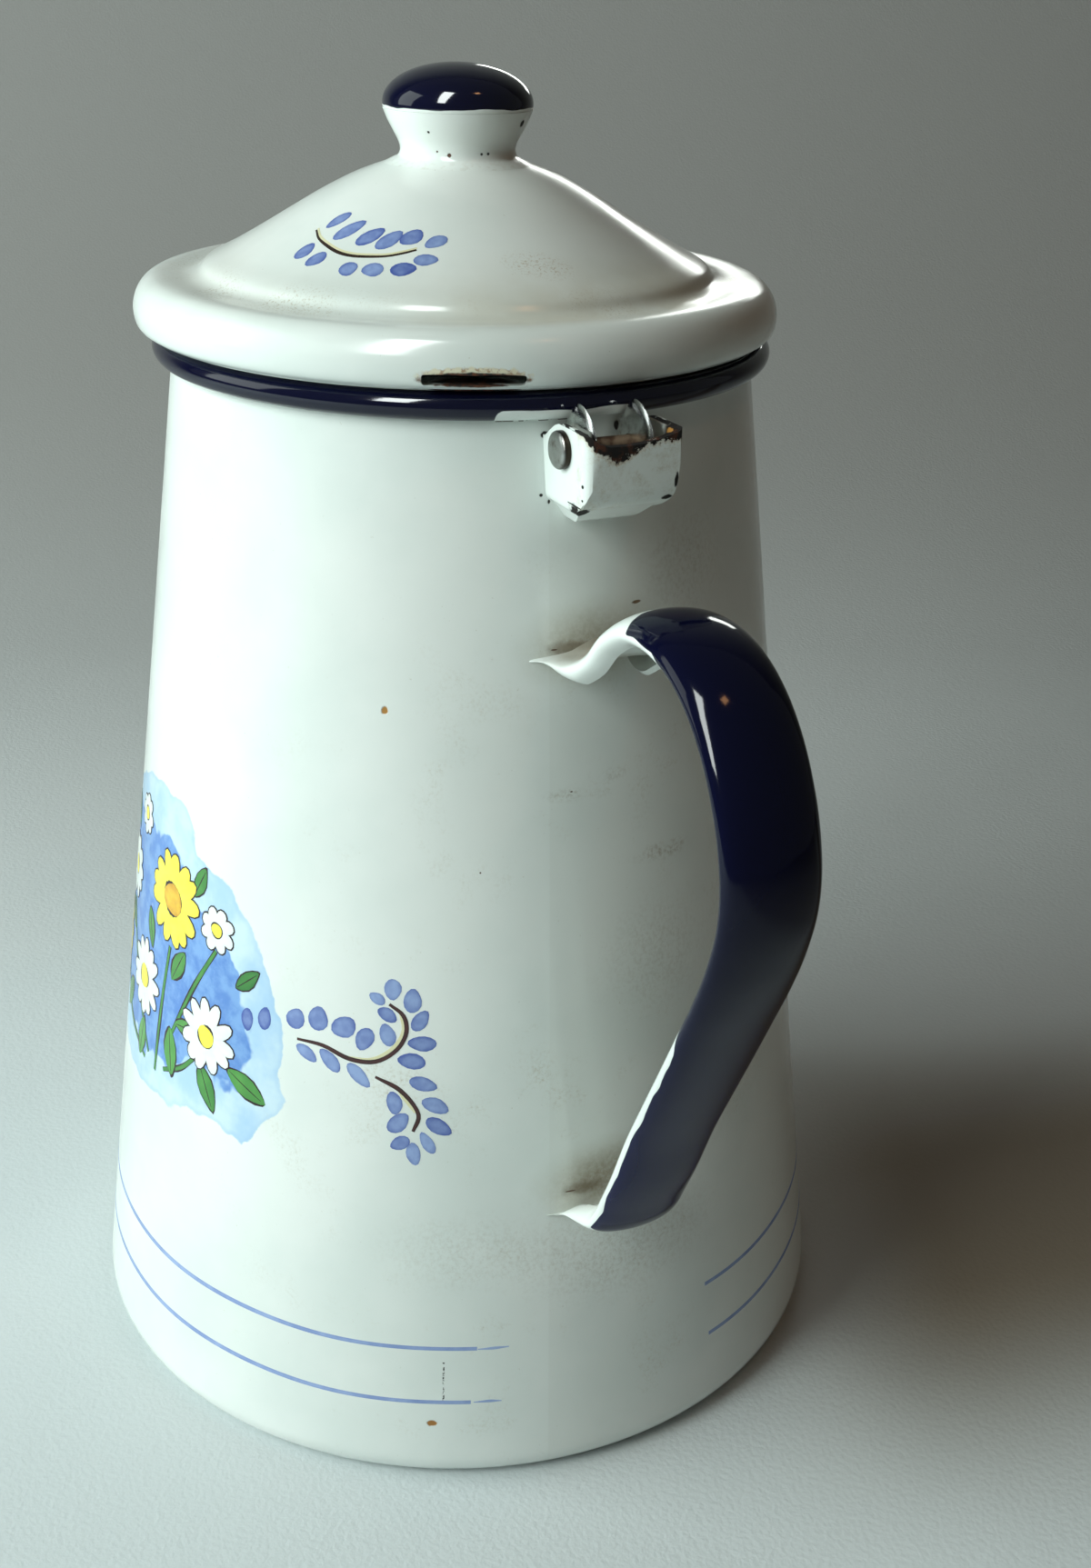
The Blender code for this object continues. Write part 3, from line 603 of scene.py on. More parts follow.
# Soft smears: polar angle, height, width, height of the smear, strength
SMEARS = (
    (-6.0, 132.5, 2.6, 0.9, 0.45), (12.0, 119.0, 4.4, 1.2, 0.55), (3.0, 135.0, 2.0, 0.9, 0.35),
    (25.0, 130.0, 2.4, 1.0, 0.40), (2.0, 45.0, 15.0, 8.0, 0.30), (-22.0, 48.0, 12.0, 6.0, 0.18),
    (20.0, 168.0, 8.0, 7.0, 0.22), (10.0, 100.0, 9.0, 9.0, 0.20), (24.0, 74.0, 9.0, 11.0, 0.24),
)
# Chips and specks: polar angle, height, width, height of the chip, colour
WALL_CHIPS = (
    (-26.9, 12.9, 0.95, 0.60, (0.36, 0.16, 0.03)), (-35.6, 147.4, 0.55, 0.65, (0.42, 0.20, 0.04)),
    (5.1, 192.5, 0.45, 0.7, CHAR), (-9.5, 182.5, 0.30, 0.26, CHAR), (-8.1, 181.4, 0.22, 0.34, CHAR),
    (-8.6, 191.9, 0.75, 0.55, CHAR), (-20.0, 120.0, 0.16, 0.16, RUST), (-5.0, 133.0, 0.22, 0.13, RUST),
    (-7.6, 157.4, 0.6, 0.12, RUST), (-6.4, 58.6, 0.9, 0.14, RUST),
    (8.1, 163.5, 0.9, 0.25, (0.2, 0.13, 0.07)),
)


def stain_wall(shade):
    """Grime round the handle, stains at its roots, smears and chips."""
    grime = shade.patchy(70.0, 5.0, 0.52, 0.72, 0.65) * shade.patchy(1500.0, 3.0, 0.42, 0.85, 0.7)
    near_handle = shade.spot((wall_radius(0.09), 0, 0.07), (0.05, 0.06, 0.09), 0.2, 0.6, 60.0)
    shade.tint(grime * near_handle * 0.60, (0.42, 0.36, 0.23))
    for centre, size, amount in ROOT_STAINS:
        halo = shade.spot(Vector(centre) * MM, Vector(size) * MM, 0.22, 0.8, 130.0)
        ragged = shade.patchy(1100.0, 4.0, 0.25, 0.75, 0.7, 0.72)
        shade.tint(halo * ragged * amount, shade.mix(halo, (0.36, 0.32, 0.20), (0.20, 0.145, 0.065)))
    for turn, z, width, tall, amount in SMEARS:
        smear = shade.spot(on_wall(turn, z, 0), Vector((width, width, tall)) * MM, 0.5, 0.8, 400.0)
        shade.tint(smear * shade.patchy(1300.0, 4.0, 0.40, 0.72, 0.7) * amount, (0.27, 0.20, 0.10))
    for centre in (on_wall(-5.0, 157.4, 0), on_wall(-4.2, 58.9, 0)):
        core = shade.spot(centre, (0.0024, 0.0034, 0.0011), 0.5, 0.6, 900.0)
        shade.tint(core * 0.6, (0.12, 0.075, 0.03))
    for turn, z, width, tall, tint in WALL_CHIPS:
        mask = shade.spot(on_wall(turn, z, 0), Vector((width, width, tall)) * MM, 0.35, 0.2, 1600.0)
        shade.lay(mask, tint, 0.55, 0.5)


def make_base():
    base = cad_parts["base_pan"]
    base.data.materials.clear()
    base.data.materials.append(enamel("base_enamel").close())


# Spout


SPOUT_ROOT_HEIGHT = 84.0 * MM
SPOUT_TIP_HEIGHT = RIM_HEIGHT - 10.3 * MM
SPOUT_STATIONS = 70
SPOUT_SIDES = 56


def spout_point(t, angle, sheet):
    """A place on the spout's outside, or inside by the sheet, at share t along the swan neck."""
    root = Vector((-wall_radius(SPOUT_ROOT_HEIGHT) + 12.0 * MM, 0, SPOUT_ROOT_HEIGHT))
    tip = Vector((-wall_radius(SPOUT_TIP_HEIGHT) - 52.7 * MM, 0, SPOUT_TIP_HEIGHT))
    rise = tip.z - root.z
    low_pull = root + Vector((-49.0 * MM, 0, rise * 0.14))
    high_pull = tip + Vector((26.0 * MM, 0, -rise * 0.30))
    u = 1 - t
    centre = u ** 3 * root + 3 * u * u * t * low_pull + 3 * u * t * t * high_pull + t ** 3 * tip
    travel = u * u * (low_pull - root) + 2 * u * t * (high_pull - low_pull) + t * t * (tip - high_pull)
    level = t ** 4
    travel = (travel.normalized() * (1 - level) + Vector((0, 0, 1)) * level).normalized()
    above = Vector((-travel.z, 0, travel.x))
    narrowing = u ** 1.5
    flare = 1.6 * MM * t ** 12
    tall = 7.8 * MM + 15.2 * MM * narrowing + flare - sheet
    wide = 7.4 * MM + 9.1 * MM * narrowing + flare - sheet
    return centre + above * tall * math.cos(angle) + Vector((0, wide * math.sin(angle), 0))


def outside_wall(point, gap):
    return math.hypot(point.x, point.y) - wall_radius(point.z) - gap


def make_spout():
    """Each long line starts where it meets the wall, and spreads a little there as the weld does."""
    bm = bmesh.new()
    columns = []
    for k in range(SPOUT_SIDES):
        angle = 2 * math.pi * k / SPOUT_SIDES
        column = []
        for sheet in (0.0, SHEET):
            low, high = 0.0, 0.5
            for _ in range(30):
                middle = (low + high) / 2
                if outside_wall(spout_point(middle, angle, sheet), 0.1 * MM) > 0:
                    high = middle
                else:
                    low = middle
            shares = [high + (1 - high) * (i / SPOUT_STATIONS) ** 1.15 for i in range(SPOUT_STATIONS + 1)]
            line = [spout_point(share, angle, sheet) for share in shares]
            if not sheet:
                for i in range(6):
                    spread = (1 - i / 6) ** 2 * 1.4 * MM
                    away = (line[i] - spout_point(shares[i], angle, 6 * MM)).normalized()
                    line[i] = line[i] + away * spread
                start = line[0]
                reach = wall_radius(start.z) / math.hypot(start.x, start.y)
                line[0] = Vector((start.x * reach, start.y * reach, start.z))
            column += line if not sheet else line[::-1]
        columns.append([bm.verts.new(point) for point in column])
    skin(bm, columns + columns[:1], False)
    shade = enamel("spout_enamel")
    shade.paint(shade.ramp(shade.attribute("navy"), -0.06, 0.06), 0.09)
    spout = finish_mesh("spout_enamel", bm, shade, "pot", "spout")
    edge = []
    for vert in spout.data.vertices:
        wobble = noise_field.noise(vert.co * 120) * 0.5
        edge.append((vert.co.z - SPOUT_TIP_HEIGHT) / MM + 4.0 + wobble if vert.co.x < -0.09 else BARE)
    set_share(spout, "navy", edge)


# Handle


HANDLE_TOP_ROOT = RIM_HEIGHT - 40.8 * MM
HANDLE_SPAN = 101.6 * MM
HANDLE_REACH = 55.4 * MM
HANDLE_HALF = 8.4 * MM
HANDLE_STATIONS = 300
HANDLE_FILLET = 2.4 * MM
# The strap's edge line: share of its reach from the wall, share of its height
HANDLE_SHARES = (
    (-0.115, 1.000), (0.020, 0.998), (0.115, 1.004), (0.217, 1.033), (0.320, 1.083), (0.437, 1.118),
    (0.573, 1.127), (0.700, 1.114), (0.806, 1.081), (0.884, 1.035), (0.938, 0.982), (0.975, 0.922),
    (0.990, 0.852), (0.974, 0.788), (0.921, 0.714), (0.848, 0.640), (0.759, 0.562), (0.654, 0.471),
    (0.542, 0.375), (0.429, 0.277), (0.313, 0.165), (0.237, 0.098), (0.192, 0.059), (0.150, 0.031),
    (0.088, 0.014), (0.014, 0.005), (-0.120, -0.008),
)


def handle_line():
    """Places along the strap's edge line, closer together at both ends, and the run to each."""
    points = []
    for reach_share, height_share in HANDLE_SHARES:
        height = HANDLE_TOP_ROOT - HANDLE_SPAN * (1 - height_share)
        points.append((wall_radius(height) + HANDLE_REACH * reach_share, height))
    fine = smooth(points, 24)
    run = [0.0]
    for start, end in zip(fine, fine[1:]):
        run.append(run[-1] + (end - start).length)
    line = []
    goals = []
    k = 0
    for i in range(HANDLE_STATIONS + 1):
        share = i / HANDLE_STATIONS
        goal = run[-1] * (share - 0.08 * math.sin(2 * math.pi * share))
        while k < len(fine) - 2 and run[k + 1] < goal:
            k += 1
        line.append(fine[k].lerp(fine[k + 1], (goal - run[k]) / (run[k + 1] - run[k])))
        goals.append(goal)
    return line, goals


def handle_section(body_share, flare, curl):
    """(across, out, run from the crown) round the hollow strap as one closed ring."""
    root_share = (1 - body_share) ** 2
    half = HANDLE_HALF + flare * root_share
    crown = 1.2 * MM + 1.8 * MM * body_share
    depth = 3.0 * MM + 2.2 * MM * root_share
    start, end = math.radians(-50), math.radians(230)
    ring = []
    for sheet, count in ((0.0, 44), (SHEET, 28)):
        angles = [start + (end - start) * i / count for i in range(count + 1)]
        for a in angles if not sheet else reversed(angles):
            tall = crown if math.sin(a) > 0 else depth
            bend = curl * root_share * math.cos(a) ** 2
            run = abs(a - math.pi / 2) * (half * 0.64 if sheet == 0 else -half * 0.5)
            ring.append(((half - sheet) * math.cos(a), (tall - sheet) * math.sin(a) - bend, run, sheet > 0))
    return ring


def make_handle():
    line, runs = handle_line()
    length = runs[-1]
    bm = bmesh.new()
    rings = []
    paint = []
    for i, centre in enumerate(line):
        travel = (line[min(i + 1, len(line) - 1)] - line[max(i - 1, 0)]).normalized()
        outward = Vector((-travel.y, travel.x))
        run = runs[i]
        from_root = min(run, length - run) - 6.0 * MM
        share = min(max(from_root / (14.0 * MM), 0), 1)
        share = share * share * (3 - 2 * share)
        upper = i < len(line) / 2
        section = handle_section(share, (0.9 if upper else 1.4) * MM, 0 if upper else 1.2 * MM)
        middle = Vector((centre.x, 0, centre.y))
        ring = []
        for across, out, around, inside in section:
            gap = max(outside_wall(middle, 0), 0)
            thin = min(gap / (7 * MM), 1) ** 0.6
            out *= thin if out < 0 else 0.5 + 0.5 * thin
            place = Vector((centre.x + outward.x * out, across, centre.y + outward.y * out))
            ring.append(place if inside else spread_at_wall(place, middle))
            paint.append(handle_paint(run, length, across, around, inside, place))
        rings.append(ring)
    clip_to_wall(rings)
    skin(bm, [[bm.verts.new(place) for place in ring] for ring in rings])
    handle = finish_mesh("handle_enamel", bm, handle_material(), "pot", "handle_strap", 50)
    set_share(handle, "navy", paint)


def spread_at_wall(place, middle):
    """Spreads the strap over the wall where they meet, as the enamel's fillet does."""
    gap = max(outside_wall(place, 0), 0)
    if gap > HANDLE_FILLET:
        return place
    away = place - middle
    away.x = 0
    if away.length < 0.5 * MM:
        return place
    rest = HANDLE_FILLET - gap
    return place + away.normalized() * (HANDLE_FILLET - math.sqrt(HANDLE_FILLET ** 2 - rest ** 2))


def clip_to_wall(rings):
    """Pulls the hidden ends of each long line back to the wall."""
    for k in range(len(rings[0])):
        for order in (range(len(rings)), range(len(rings) - 1, -1, -1)):
            order = list(order)
            first = next(i for i in order if outside_wall(rings[i][k], 0) > 0)
            before = order[order.index(first) - 1] if order.index(first) else first
            inside, outside = rings[before][k], rings[first][k]
            for _ in range(20):
                middle = (inside + outside) / 2
                if outside_wall(middle, 0) > 0:
                    outside = middle
                else:
                    inside = middle
            for i in order[:order.index(first)]:
                rings[i][k] = outside - Vector((0.00002, 0, 0)) * (order.index(first) - order.index(i))


def handle_paint(run, length, across, around, inside, place):
    """Distance inside the navy, in millimetres, below 0 where it is white."""
    if inside:
        return BARE
    wobble = noise_field.noise(place * 190) * 0.8 + noise_field.noise(place * 420) * 0.3
    side = across / HANDLE_HALF
    start = 32.6 + 3.0 * side ** 2 + 7.0 * max(side, 0) ** 3
    end = length / MM - 14.6 - 1.2 * side ** 2
    along = min(run / MM - start, end - run / MM)
    low_start = 0.62 * length / MM
    middle = min(max((run / MM - 44.0) / 8.0, 0), 1) * min(max((low_start - run / MM) / 10.0, 0), 1)
    reach = (8.3 if run < length / 2 else 7.4) + 6.0 * middle
    return min(along, reach - around / MM) + wobble * 0.8


def handle_material():
    shade = enamel("handle_enamel", 0.26)
    paint = shade.ramp(shade.attribute("navy"), -0.05, 0.05)
    # Painted light: the navy turns a lighter, bluer tone lower down the strap.
    painted_light_height = shade.split()[2] + shade.noise(45.0, 3.0) * 0.03
    shade.paint(paint, 0.085, shade.mix(shade.ramp(painted_light_height, 0.150, 0.085), NAVY, (0.0048, 0.0060, 0.046)))
    for centre in ((58.0, 2.0, 158.0), (69.5, 2.0, 60.4)):
        root = shade.spot(Vector(centre) * MM, (0.0052, 0.0095, 0.0030), 0.3, 0.6, 260.0)
        shade.tint(root * shade.ramp(paint, 1.0, 0.0, 0.0, 0.75), (0.22, 0.16, 0.08))
    chip = shade.spot((0.0768, -0.0079, 0.1606), (0.0012, 0.0012, 0.0005), 0.4, 0.2, 1800.0)
    shade.lay(chip, CHAR, 0.6, 0.5)
    return shade


# Bracket, rivet and leaf


BRACKET_WIDTH = 16.4 * MM
BRACKET_TOP = RIM_HEIGHT - 1.5 * MM
BRACKET_LOW = BRACKET_TOP - 13.6 * MM
BRACKET_FRONT = wall_radius(RIM_HEIGHT) + 16.3 * MM
PIN_REACH = BRACKET_FRONT - 9.0 * MM
PIN_HEIGHT = BRACKET_TOP - 4.0 * MM


def prism(name, outline, low, high, axis="Y"):
    """A flat outline swept along an axis, as a bare object for cutting or keeping."""
    order = {"X": (2, 0, 1), "Y": (0, 2, 1), "Z": (0, 1, 2)}[axis]
    bm = bmesh.new()
    sides = []
    for level in (low, high):
        corners = ((*point, level) for point in outline)
        sides.append([bm.verts.new([corner[k] for k in order]) for corner in corners])
    near, far = sides
    bm.faces.new(near)
    bm.faces.new(reversed(far))
    for k in range(len(near)):
        j = (k + 1) % len(near)
        bm.faces.new((near[j], near[k], far[k], far[j]))
    return bare(name, bm)


def rounded(corners, steps=7):
    """A closed outline from (x, y, how far the rounding reaches) with its corners rounded."""
    outline = []
    for k, (x, y, reach) in enumerate(corners):
        here = Vector((x, y))
        if not reach:
            outline.append(here)
            continue
        start = here + (Vector(corners[k - 1][:2]) - here).normalized() * reach
        end = here + (Vector(corners[(k + 1) % len(corners)][:2]) - here).normalized() * reach
        for i in range(steps + 1):
            t = i / steps
            outline.append((1 - t) ** 2 * start + 2 * t * (1 - t) * here + t * t * end)
    return outline


def joined(base, others, merge=True):
    """The base with each (object, operation) applied; the others are removed."""
    for other, operation in others:
        boolean = base.modifiers.new(other.name, "BOOLEAN")
        boolean.operation = operation
        boolean.solver = "EXACT"
        boolean.object = other
    bpy.context.view_layer.update()
    graph = bpy.context.evaluated_depsgraph_get()
    mesh = bpy.data.meshes.new_from_object(base.evaluated_get(graph))
    for item in [base] + [other for other, operation in others]:
        bpy.data.objects.remove(item, do_unlink=True)
    bm = bmesh.new()
    bm.from_mesh(mesh)
    bpy.data.meshes.remove(mesh)
    bmesh.ops.remove_doubles(bm, verts=bm.verts, dist=0.00001)
    if merge:
        bmesh.ops.dissolve_limit(bm, angle_limit=math.radians(1), verts=bm.verts, edges=bm.edges)
    return bm


def soften(bm, width, segments, angle):
    """Rounds the edges that are sharper than the angle in degrees."""
    bend = math.radians(angle)
    sharp = [edge for edge in bm.edges if len(edge.link_faces) == 2 and edge.calc_face_angle(0) > bend]
    bmesh.ops.bevel(bm, geom=sharp, offset=width, segments=segments, profile=0.5, affect="EDGES",
                    clamp_overlap=True)


# Sag of the worn front edge below the bracket's top: place across the front, drop
BRACKET_SAG = (
    (7.6, 0.2), (6.6, 0.6), (4.5, 1.2), (1.5, 1.8), (-1.5, 2.0), (-4.5, 1.9), (-6.2, 1.4), (-7.6, 0.2),
)
FRONT_LEAN = 1.0 * MM


def bracket_plan(back, front, half, inset):
    """Outline from above, with the front face turned back on the left."""
    return [(back, -half, 0), (front - 0.9 * MM, -half, (2.4 - inset) * MM),
            (front, 4.6 * MM - half, 2.1 * MM), (front, half, (1.6 - inset) * MM), (back, half, 0)]


def bracket_solid(name, shell):
    """The bracket's box as the common part of its side, plan and front outlines."""
    front = BRACKET_FRONT - shell
    back = wall_radius(BRACKET_TOP) - 1.5 * MM - 2 * shell
    low = BRACKET_LOW + shell
    half = BRACKET_WIDTH / 2 - shell
    over = BRACKET_TOP + 6 * MM
    inset = 1 if shell else 0
    side = [(back, low, 0), (front - FRONT_LEAN - 4.6 * MM, low, (1.5 - inset) * MM),
            (front - FRONT_LEAN, low + 2.6 * MM, (3.2 - inset) * MM)]
    if shell:
        side += [(front, over, 0), (back, over, 0)]
    else:
        notch = BRACKET_TOP - 3.3 * MM
        side += [(front, BRACKET_TOP, 0), (front - 11 * MM, BRACKET_TOP, 3 * MM),
                 (wall_radius(notch), notch, 0), (back, notch, 0)]
    plan = bracket_plan(back - MM, front, half, inset)
    face = [(-half + 0.2 * MM, low - 0.1 * MM, (1.6 - inset) * MM),
            (half - 0.7 * MM, low - 0.1 * MM, (3.4 - inset) * MM)]
    if shell:
        face += [(half, over, 0), (-half, over, 0)]
    else:
        face += [(half, BRACKET_TOP + MM, 0)]
        face += [(across * MM, BRACKET_TOP - drop * MM, 0) for across, drop in BRACKET_SAG]
        face += [(-half, BRACKET_TOP + MM, 0)]
    box = prism(name, rounded(side), -half - MM, half + MM)
    parts = (("plan", plan, low - MM, over + MM, "Z"), ("face", face, back - MM, front + MM, "X"))
    for part, outline, start, end, axis in parts:
        cutter = prism(name + part, rounded(outline), start, end, axis)
        box = bare(name, joined(box, ((cutter, "INTERSECT"),)))
    return box


def flap_outline(shell):
    low = BRACKET_LOW - 3.2 * MM
    wall = wall_radius(low)
    toe = wall + 2.9 * MM
    start = BRACKET_LOW + 2.6 * MM
    slope = (start - low) / (BRACKET_FRONT - FRONT_LEAN - toe)
    drop = shell * math.hypot(1, slope)
    roof = start + 3.4 * MM
    front, back = BRACKET_FRONT - FRONT_LEAN - shell, wall - 1.5 * MM
    soft = 0 if shell else 2.6 * MM
    return rounded([(back, low + shell, 0), (toe - (drop - shell) / slope, low + shell, soft),
                    (front, start - slope * shell + drop, soft), (front, roof, 0), (back, roof, 0)])


def make_bracket():
    box = bracket_solid("bracket_box", 0)
    hollow = bracket_solid("bracket_hollow", SHEET)
    flap = prism("bracket_flap", flap_outline(0), -7.9 * MM, 5.5 * MM)
    low = BRACKET_LOW - 3.2 * MM
    face = [(-4.6 * MM, low, 1.0 * MM), (5.5 * MM, low, 1.8 * MM), (5.5 * MM, BRACKET_TOP, 0),
            (-7.9 * MM, BRACKET_TOP, 0), (-7.9 * MM, BRACKET_LOW + 1.4 * MM, 1.6 * MM)]
    cutter = prism("flap_face", rounded(face), 0.03, 0.09, "X")
    plan = bracket_plan(0.03, BRACKET_FRONT, BRACKET_WIDTH / 2, 0)
    plan = prism("flap_plan", rounded(plan), low - MM, BRACKET_TOP, "Z")
    flap = bare("bracket_flap", joined(flap, ((cutter, "INTERSECT"), (plan, "INTERSECT"))))
    flap_hollow = prism("flap_hollow", flap_outline(SHEET), -3.4 * MM, 4.5 * MM)
    bm = joined(box, ((flap, "UNION"), (hollow, "DIFFERENCE"), (flap_hollow, "DIFFERENCE")))
    soften(bm, 0.30 * MM, 3, 38)
    shade = bracket_material()
    piece = finish_mesh("bracket_enamel", bm, shade, "pot", "hinge_bracket", 40)
    piece.modifiers.new("even_shading", "WEIGHTED_NORMAL").keep_sharp = True


BOX_LEFT = -BRACKET_WIDTH / 2 / MM
# Chips in the bracket's enamel: centre, size, colour
BRACKET_CHIPS = (
    ((62.9, -7.0, 182.4), (2.4, 1.3, 1.8), CHAR), ((63.0, BOX_LEFT + 0.1, 183.5), (2.4, 0.3, 0.13), CHAR),
    ((65.6, BOX_LEFT, 187.1), (0.34, 0.3, 0.34), CHAR), ((65.6, BOX_LEFT, 184.9), (0.26, 0.3, 0.22), CHAR),
    ((66.9, BOX_LEFT, 192.2), (0.32, 0.5, 0.26), CHAR), ((67.6, -6.9, 191.6), (0.5, 0.36, 0.6), CHAR),
    ((66.6, 7.5, 187.3), (0.9, 0.34, 1.5), CHAR), ((66.2, 6.6, 184.1), (1.2, 0.95, 0.55), CHAR),
    ((65.4, 6.5, 194.2), (1.4, 0.9, 0.9), (0.42, 0.20, 0.05)),
    ((67.7, -1.5, 185.2), (0.3, 0.8, 0.12), RUST),
)


def bracket_material():
    """White enamel, worn to black and rust along the top edge and chipped at the corners."""
    shade = enamel("bracket_enamel", 0.22)
    across, deep, up = shade.split()[:3]
    at_front = shade.ramp(across, BRACKET_FRONT - 5.0 * MM, BRACKET_FRONT - 3.6 * MM)
    shade.tint(shade.patchy(300.0, 5.0, 0.44, 0.86, 0.8) * at_front * 0.75, (0.42, 0.36, 0.23))
    wide = shade.ramp(deep, -8.6 * MM, -3.6 * MM) * shade.ramp(deep, 3.4 * MM, -3.0 * MM)
    reach = wide * (2.2 * MM) + shade.noise(600.0, 5.0, 0.8) * (4.8 * MM) - 0.5 * MM
    reach = reach * shade.ramp(deep, -8.15 * MM, -7.3 * MM, 0.25)
    below = BRACKET_TOP - up
    band = shade.ramp(reach - below, -0.1 * MM, 0.1 * MM) * at_front
    rust = shade.mix(shade.patchy(700.0, 3.0, 0.50, 0.66), (0.008, 0.006, 0.005), (0.055, 0.018, 0.008))
    shade.tint(shade.ramp(reach - below, -0.9 * MM, -0.1 * MM) * at_front * 0.35, (0.45, 0.28, 0.10))
    shade.lay(band, rust, 0.92, 0.4)
    line = shade.ramp(below, 0.42 * MM, 0.30 * MM) * shade.patchy(480.0, 3.0, 0.40, 0.48)
    line = line * shade.ramp(across, BRACKET_FRONT - 12.5 * MM, BRACKET_FRONT - 11.0 * MM)
    shade.lay(line, CHAR, 0.6, 0.3)
    for centre, size, tint in BRACKET_CHIPS:
        shade.lay(shade.spot(Vector(centre) * MM, Vector(size) * MM, 0.35, 0.14, 1300.0), tint, 0.6, 0.4)
    return shade


def steel(name, base, dull, roughness):
    """Bare worn steel with fine scratches and brown tarnish."""
    shade = Shade(name, roughness, 1.0)
    tarnish = shade.patchy(420.0, 5.0, 0.46, 0.78, 0.65)
    shade.colour = shade.mix(tarnish, base, dull)
    stretched = shade.node("ShaderNodeMapping", {"Vector": shade.place, "Scale": (1.0, 6.0, 6.0)})
    scratch = shade.noise(1400.0, 2.0, 0.5, stretched)
    shade.rough = tarnish * 0.18 + scratch * 0.12 + (roughness - 0.06)
    shade.height = scratch * 0.12
    return shade


def make_pin():
    """A rivet: the shank, rusty in the middle, and a pan head outside each wall."""
    seat = BRACKET_WIDTH / 2 + 0.02 * MM
    head = [(2.15 * MM + 0.85 * MM * math.cos(a), seat + 0.75 * MM + 0.65 * MM * math.sin(a))
            for a in quarter(8)]
    half = [(0, seat + 1.65 * MM), (1.2 * MM, seat + 1.58 * MM)] + head[::-1]
    half += [(3.0 * MM, seat), (1.4 * MM, seat)]
    profile = half + [(radius, -height) for radius, height in half[::-1]]
    bm = lathe(profile, 40)
    turned = Matrix.Translation((PIN_REACH, 0, PIN_HEIGHT)) @ Matrix.Rotation(math.pi / 2, 4, "X")
    bmesh.ops.transform(bm, matrix=turned, verts=bm.verts)
    shade = steel("rivet_steel", (0.42, 0.43, 0.41), (0.16, 0.13, 0.10), 0.30)
    out = abs(shade.split()[1])
    # Painted shade on the side of each head, next to the bracket wall.
    shade.tint(shade.ramp(out, seat + 1.25 * MM, seat + 0.75 * MM), (0.035, 0.028, 0.022))
    rust = shade.mix(shade.patchy(500.0, 2.0, 0.4, 0.7), (0.13, 0.095, 0.065), (0.05, 0.028, 0.018))
    shade.paint(shade.ramp(out, seat - 1.0 * MM, seat - 2.0 * MM), 0.7, rust)
    finish_mesh("rivet_steel", bm, shade, "pot", "hinge_pin", 50)


EAR_RADIUS = 5.3 * MM
# The nose has to clear the bracket's front wall as the leaf swings
EAR_NOSE = 1.7 * MM
EAR_STEPS = 72
EAR_PLACE = 4.85 * MM
LEAF_SHIFT = 1.15 * MM
LEAF_WEB = 1.2 * MM
LEAF_BORE = 1.55 * MM


def ear_outline(share=1.0):
    """The ear's edge: round, with a nose that leans up and out."""
    outline = []
    for i in range(EAR_STEPS):
        a = 2 * math.pi * i / EAR_STEPS
        off = abs((a - math.radians(55) + math.pi) % (2 * math.pi) - math.pi)
        fall = min(max((off - math.radians(28)) / math.radians(45), 0), 1)
        radius = (EAR_RADIUS + EAR_NOSE * math.cos(fall * math.pi / 2) ** 2) * share
        outline.append((PIN_REACH + radius * math.cos(a), PIN_HEIGHT + radius * math.sin(a)))
    return outline


def make_ear(name, middle):
    """A pressed ear: a flat middle, and a rim that turns over to the back."""
    bm = bmesh.new()
    rings = []
    for share, out in ((0.05, -0.50), (0.58, -0.50), (0.68, -0.44), (0.80, -0.30), (0.91, -0.10),
                       (0.975, 0.12), (1.0, 0.30), (0.985, 0.44), (0.95, 0.50), (0.05, 0.50)):
        rings.append([bm.verts.new((x, middle + out * MM, z)) for x, z in ear_outline(share)])
    skin(bm, rings)
    return bare(name, bm)


def make_leaf():
    near = make_ear("leaf_near", -EAR_PLACE)
    far = make_ear("leaf_far", EAR_PLACE)
    web_top = PIN_HEIGHT - EAR_RADIUS + LEAF_WEB
    web = prism("leaf_web", ear_outline(), -EAR_PLACE, EAR_PLACE)
    cut = prism("leaf_cut", ((0.03, web_top), (0.09, web_top), (0.09, 0.22), (0.03, 0.22)), -8 * MM, 8 * MM)
    web = bare("leaf_web", joined(web, ((cut, "DIFFERENCE"),)))
    hole = arc((PIN_REACH, PIN_HEIGHT), LEAF_BORE, 0, 2 * math.pi * 31 / 32, 31)
    bore = prism("leaf_bore", hole, -20 * MM, 20 * MM)
    bm = joined(near, ((far, "UNION"), (web, "UNION"), (bore, "DIFFERENCE")))
    bmesh.ops.translate(bm, vec=(0, -LEAF_SHIFT, 0), verts=bm.verts)
    shade = steel("leaf_steel", (0.66, 0.68, 0.66), (0.20, 0.17, 0.14), 0.13)
    finish_mesh("leaf_steel", bm, shade, "leaf", "hinge_leaf", 40)


# Lid and knob


LID_PLACE = Matrix.Translation(LID_SHIFT) @ Matrix.Rotation(LID_TURN, 4, "Z")
SLOT_LOW = LIP_HEIGHT + 0.8 * MM
SLOT_TALL = 1.7 * MM
SLOT_LONG = 16.2 * MM


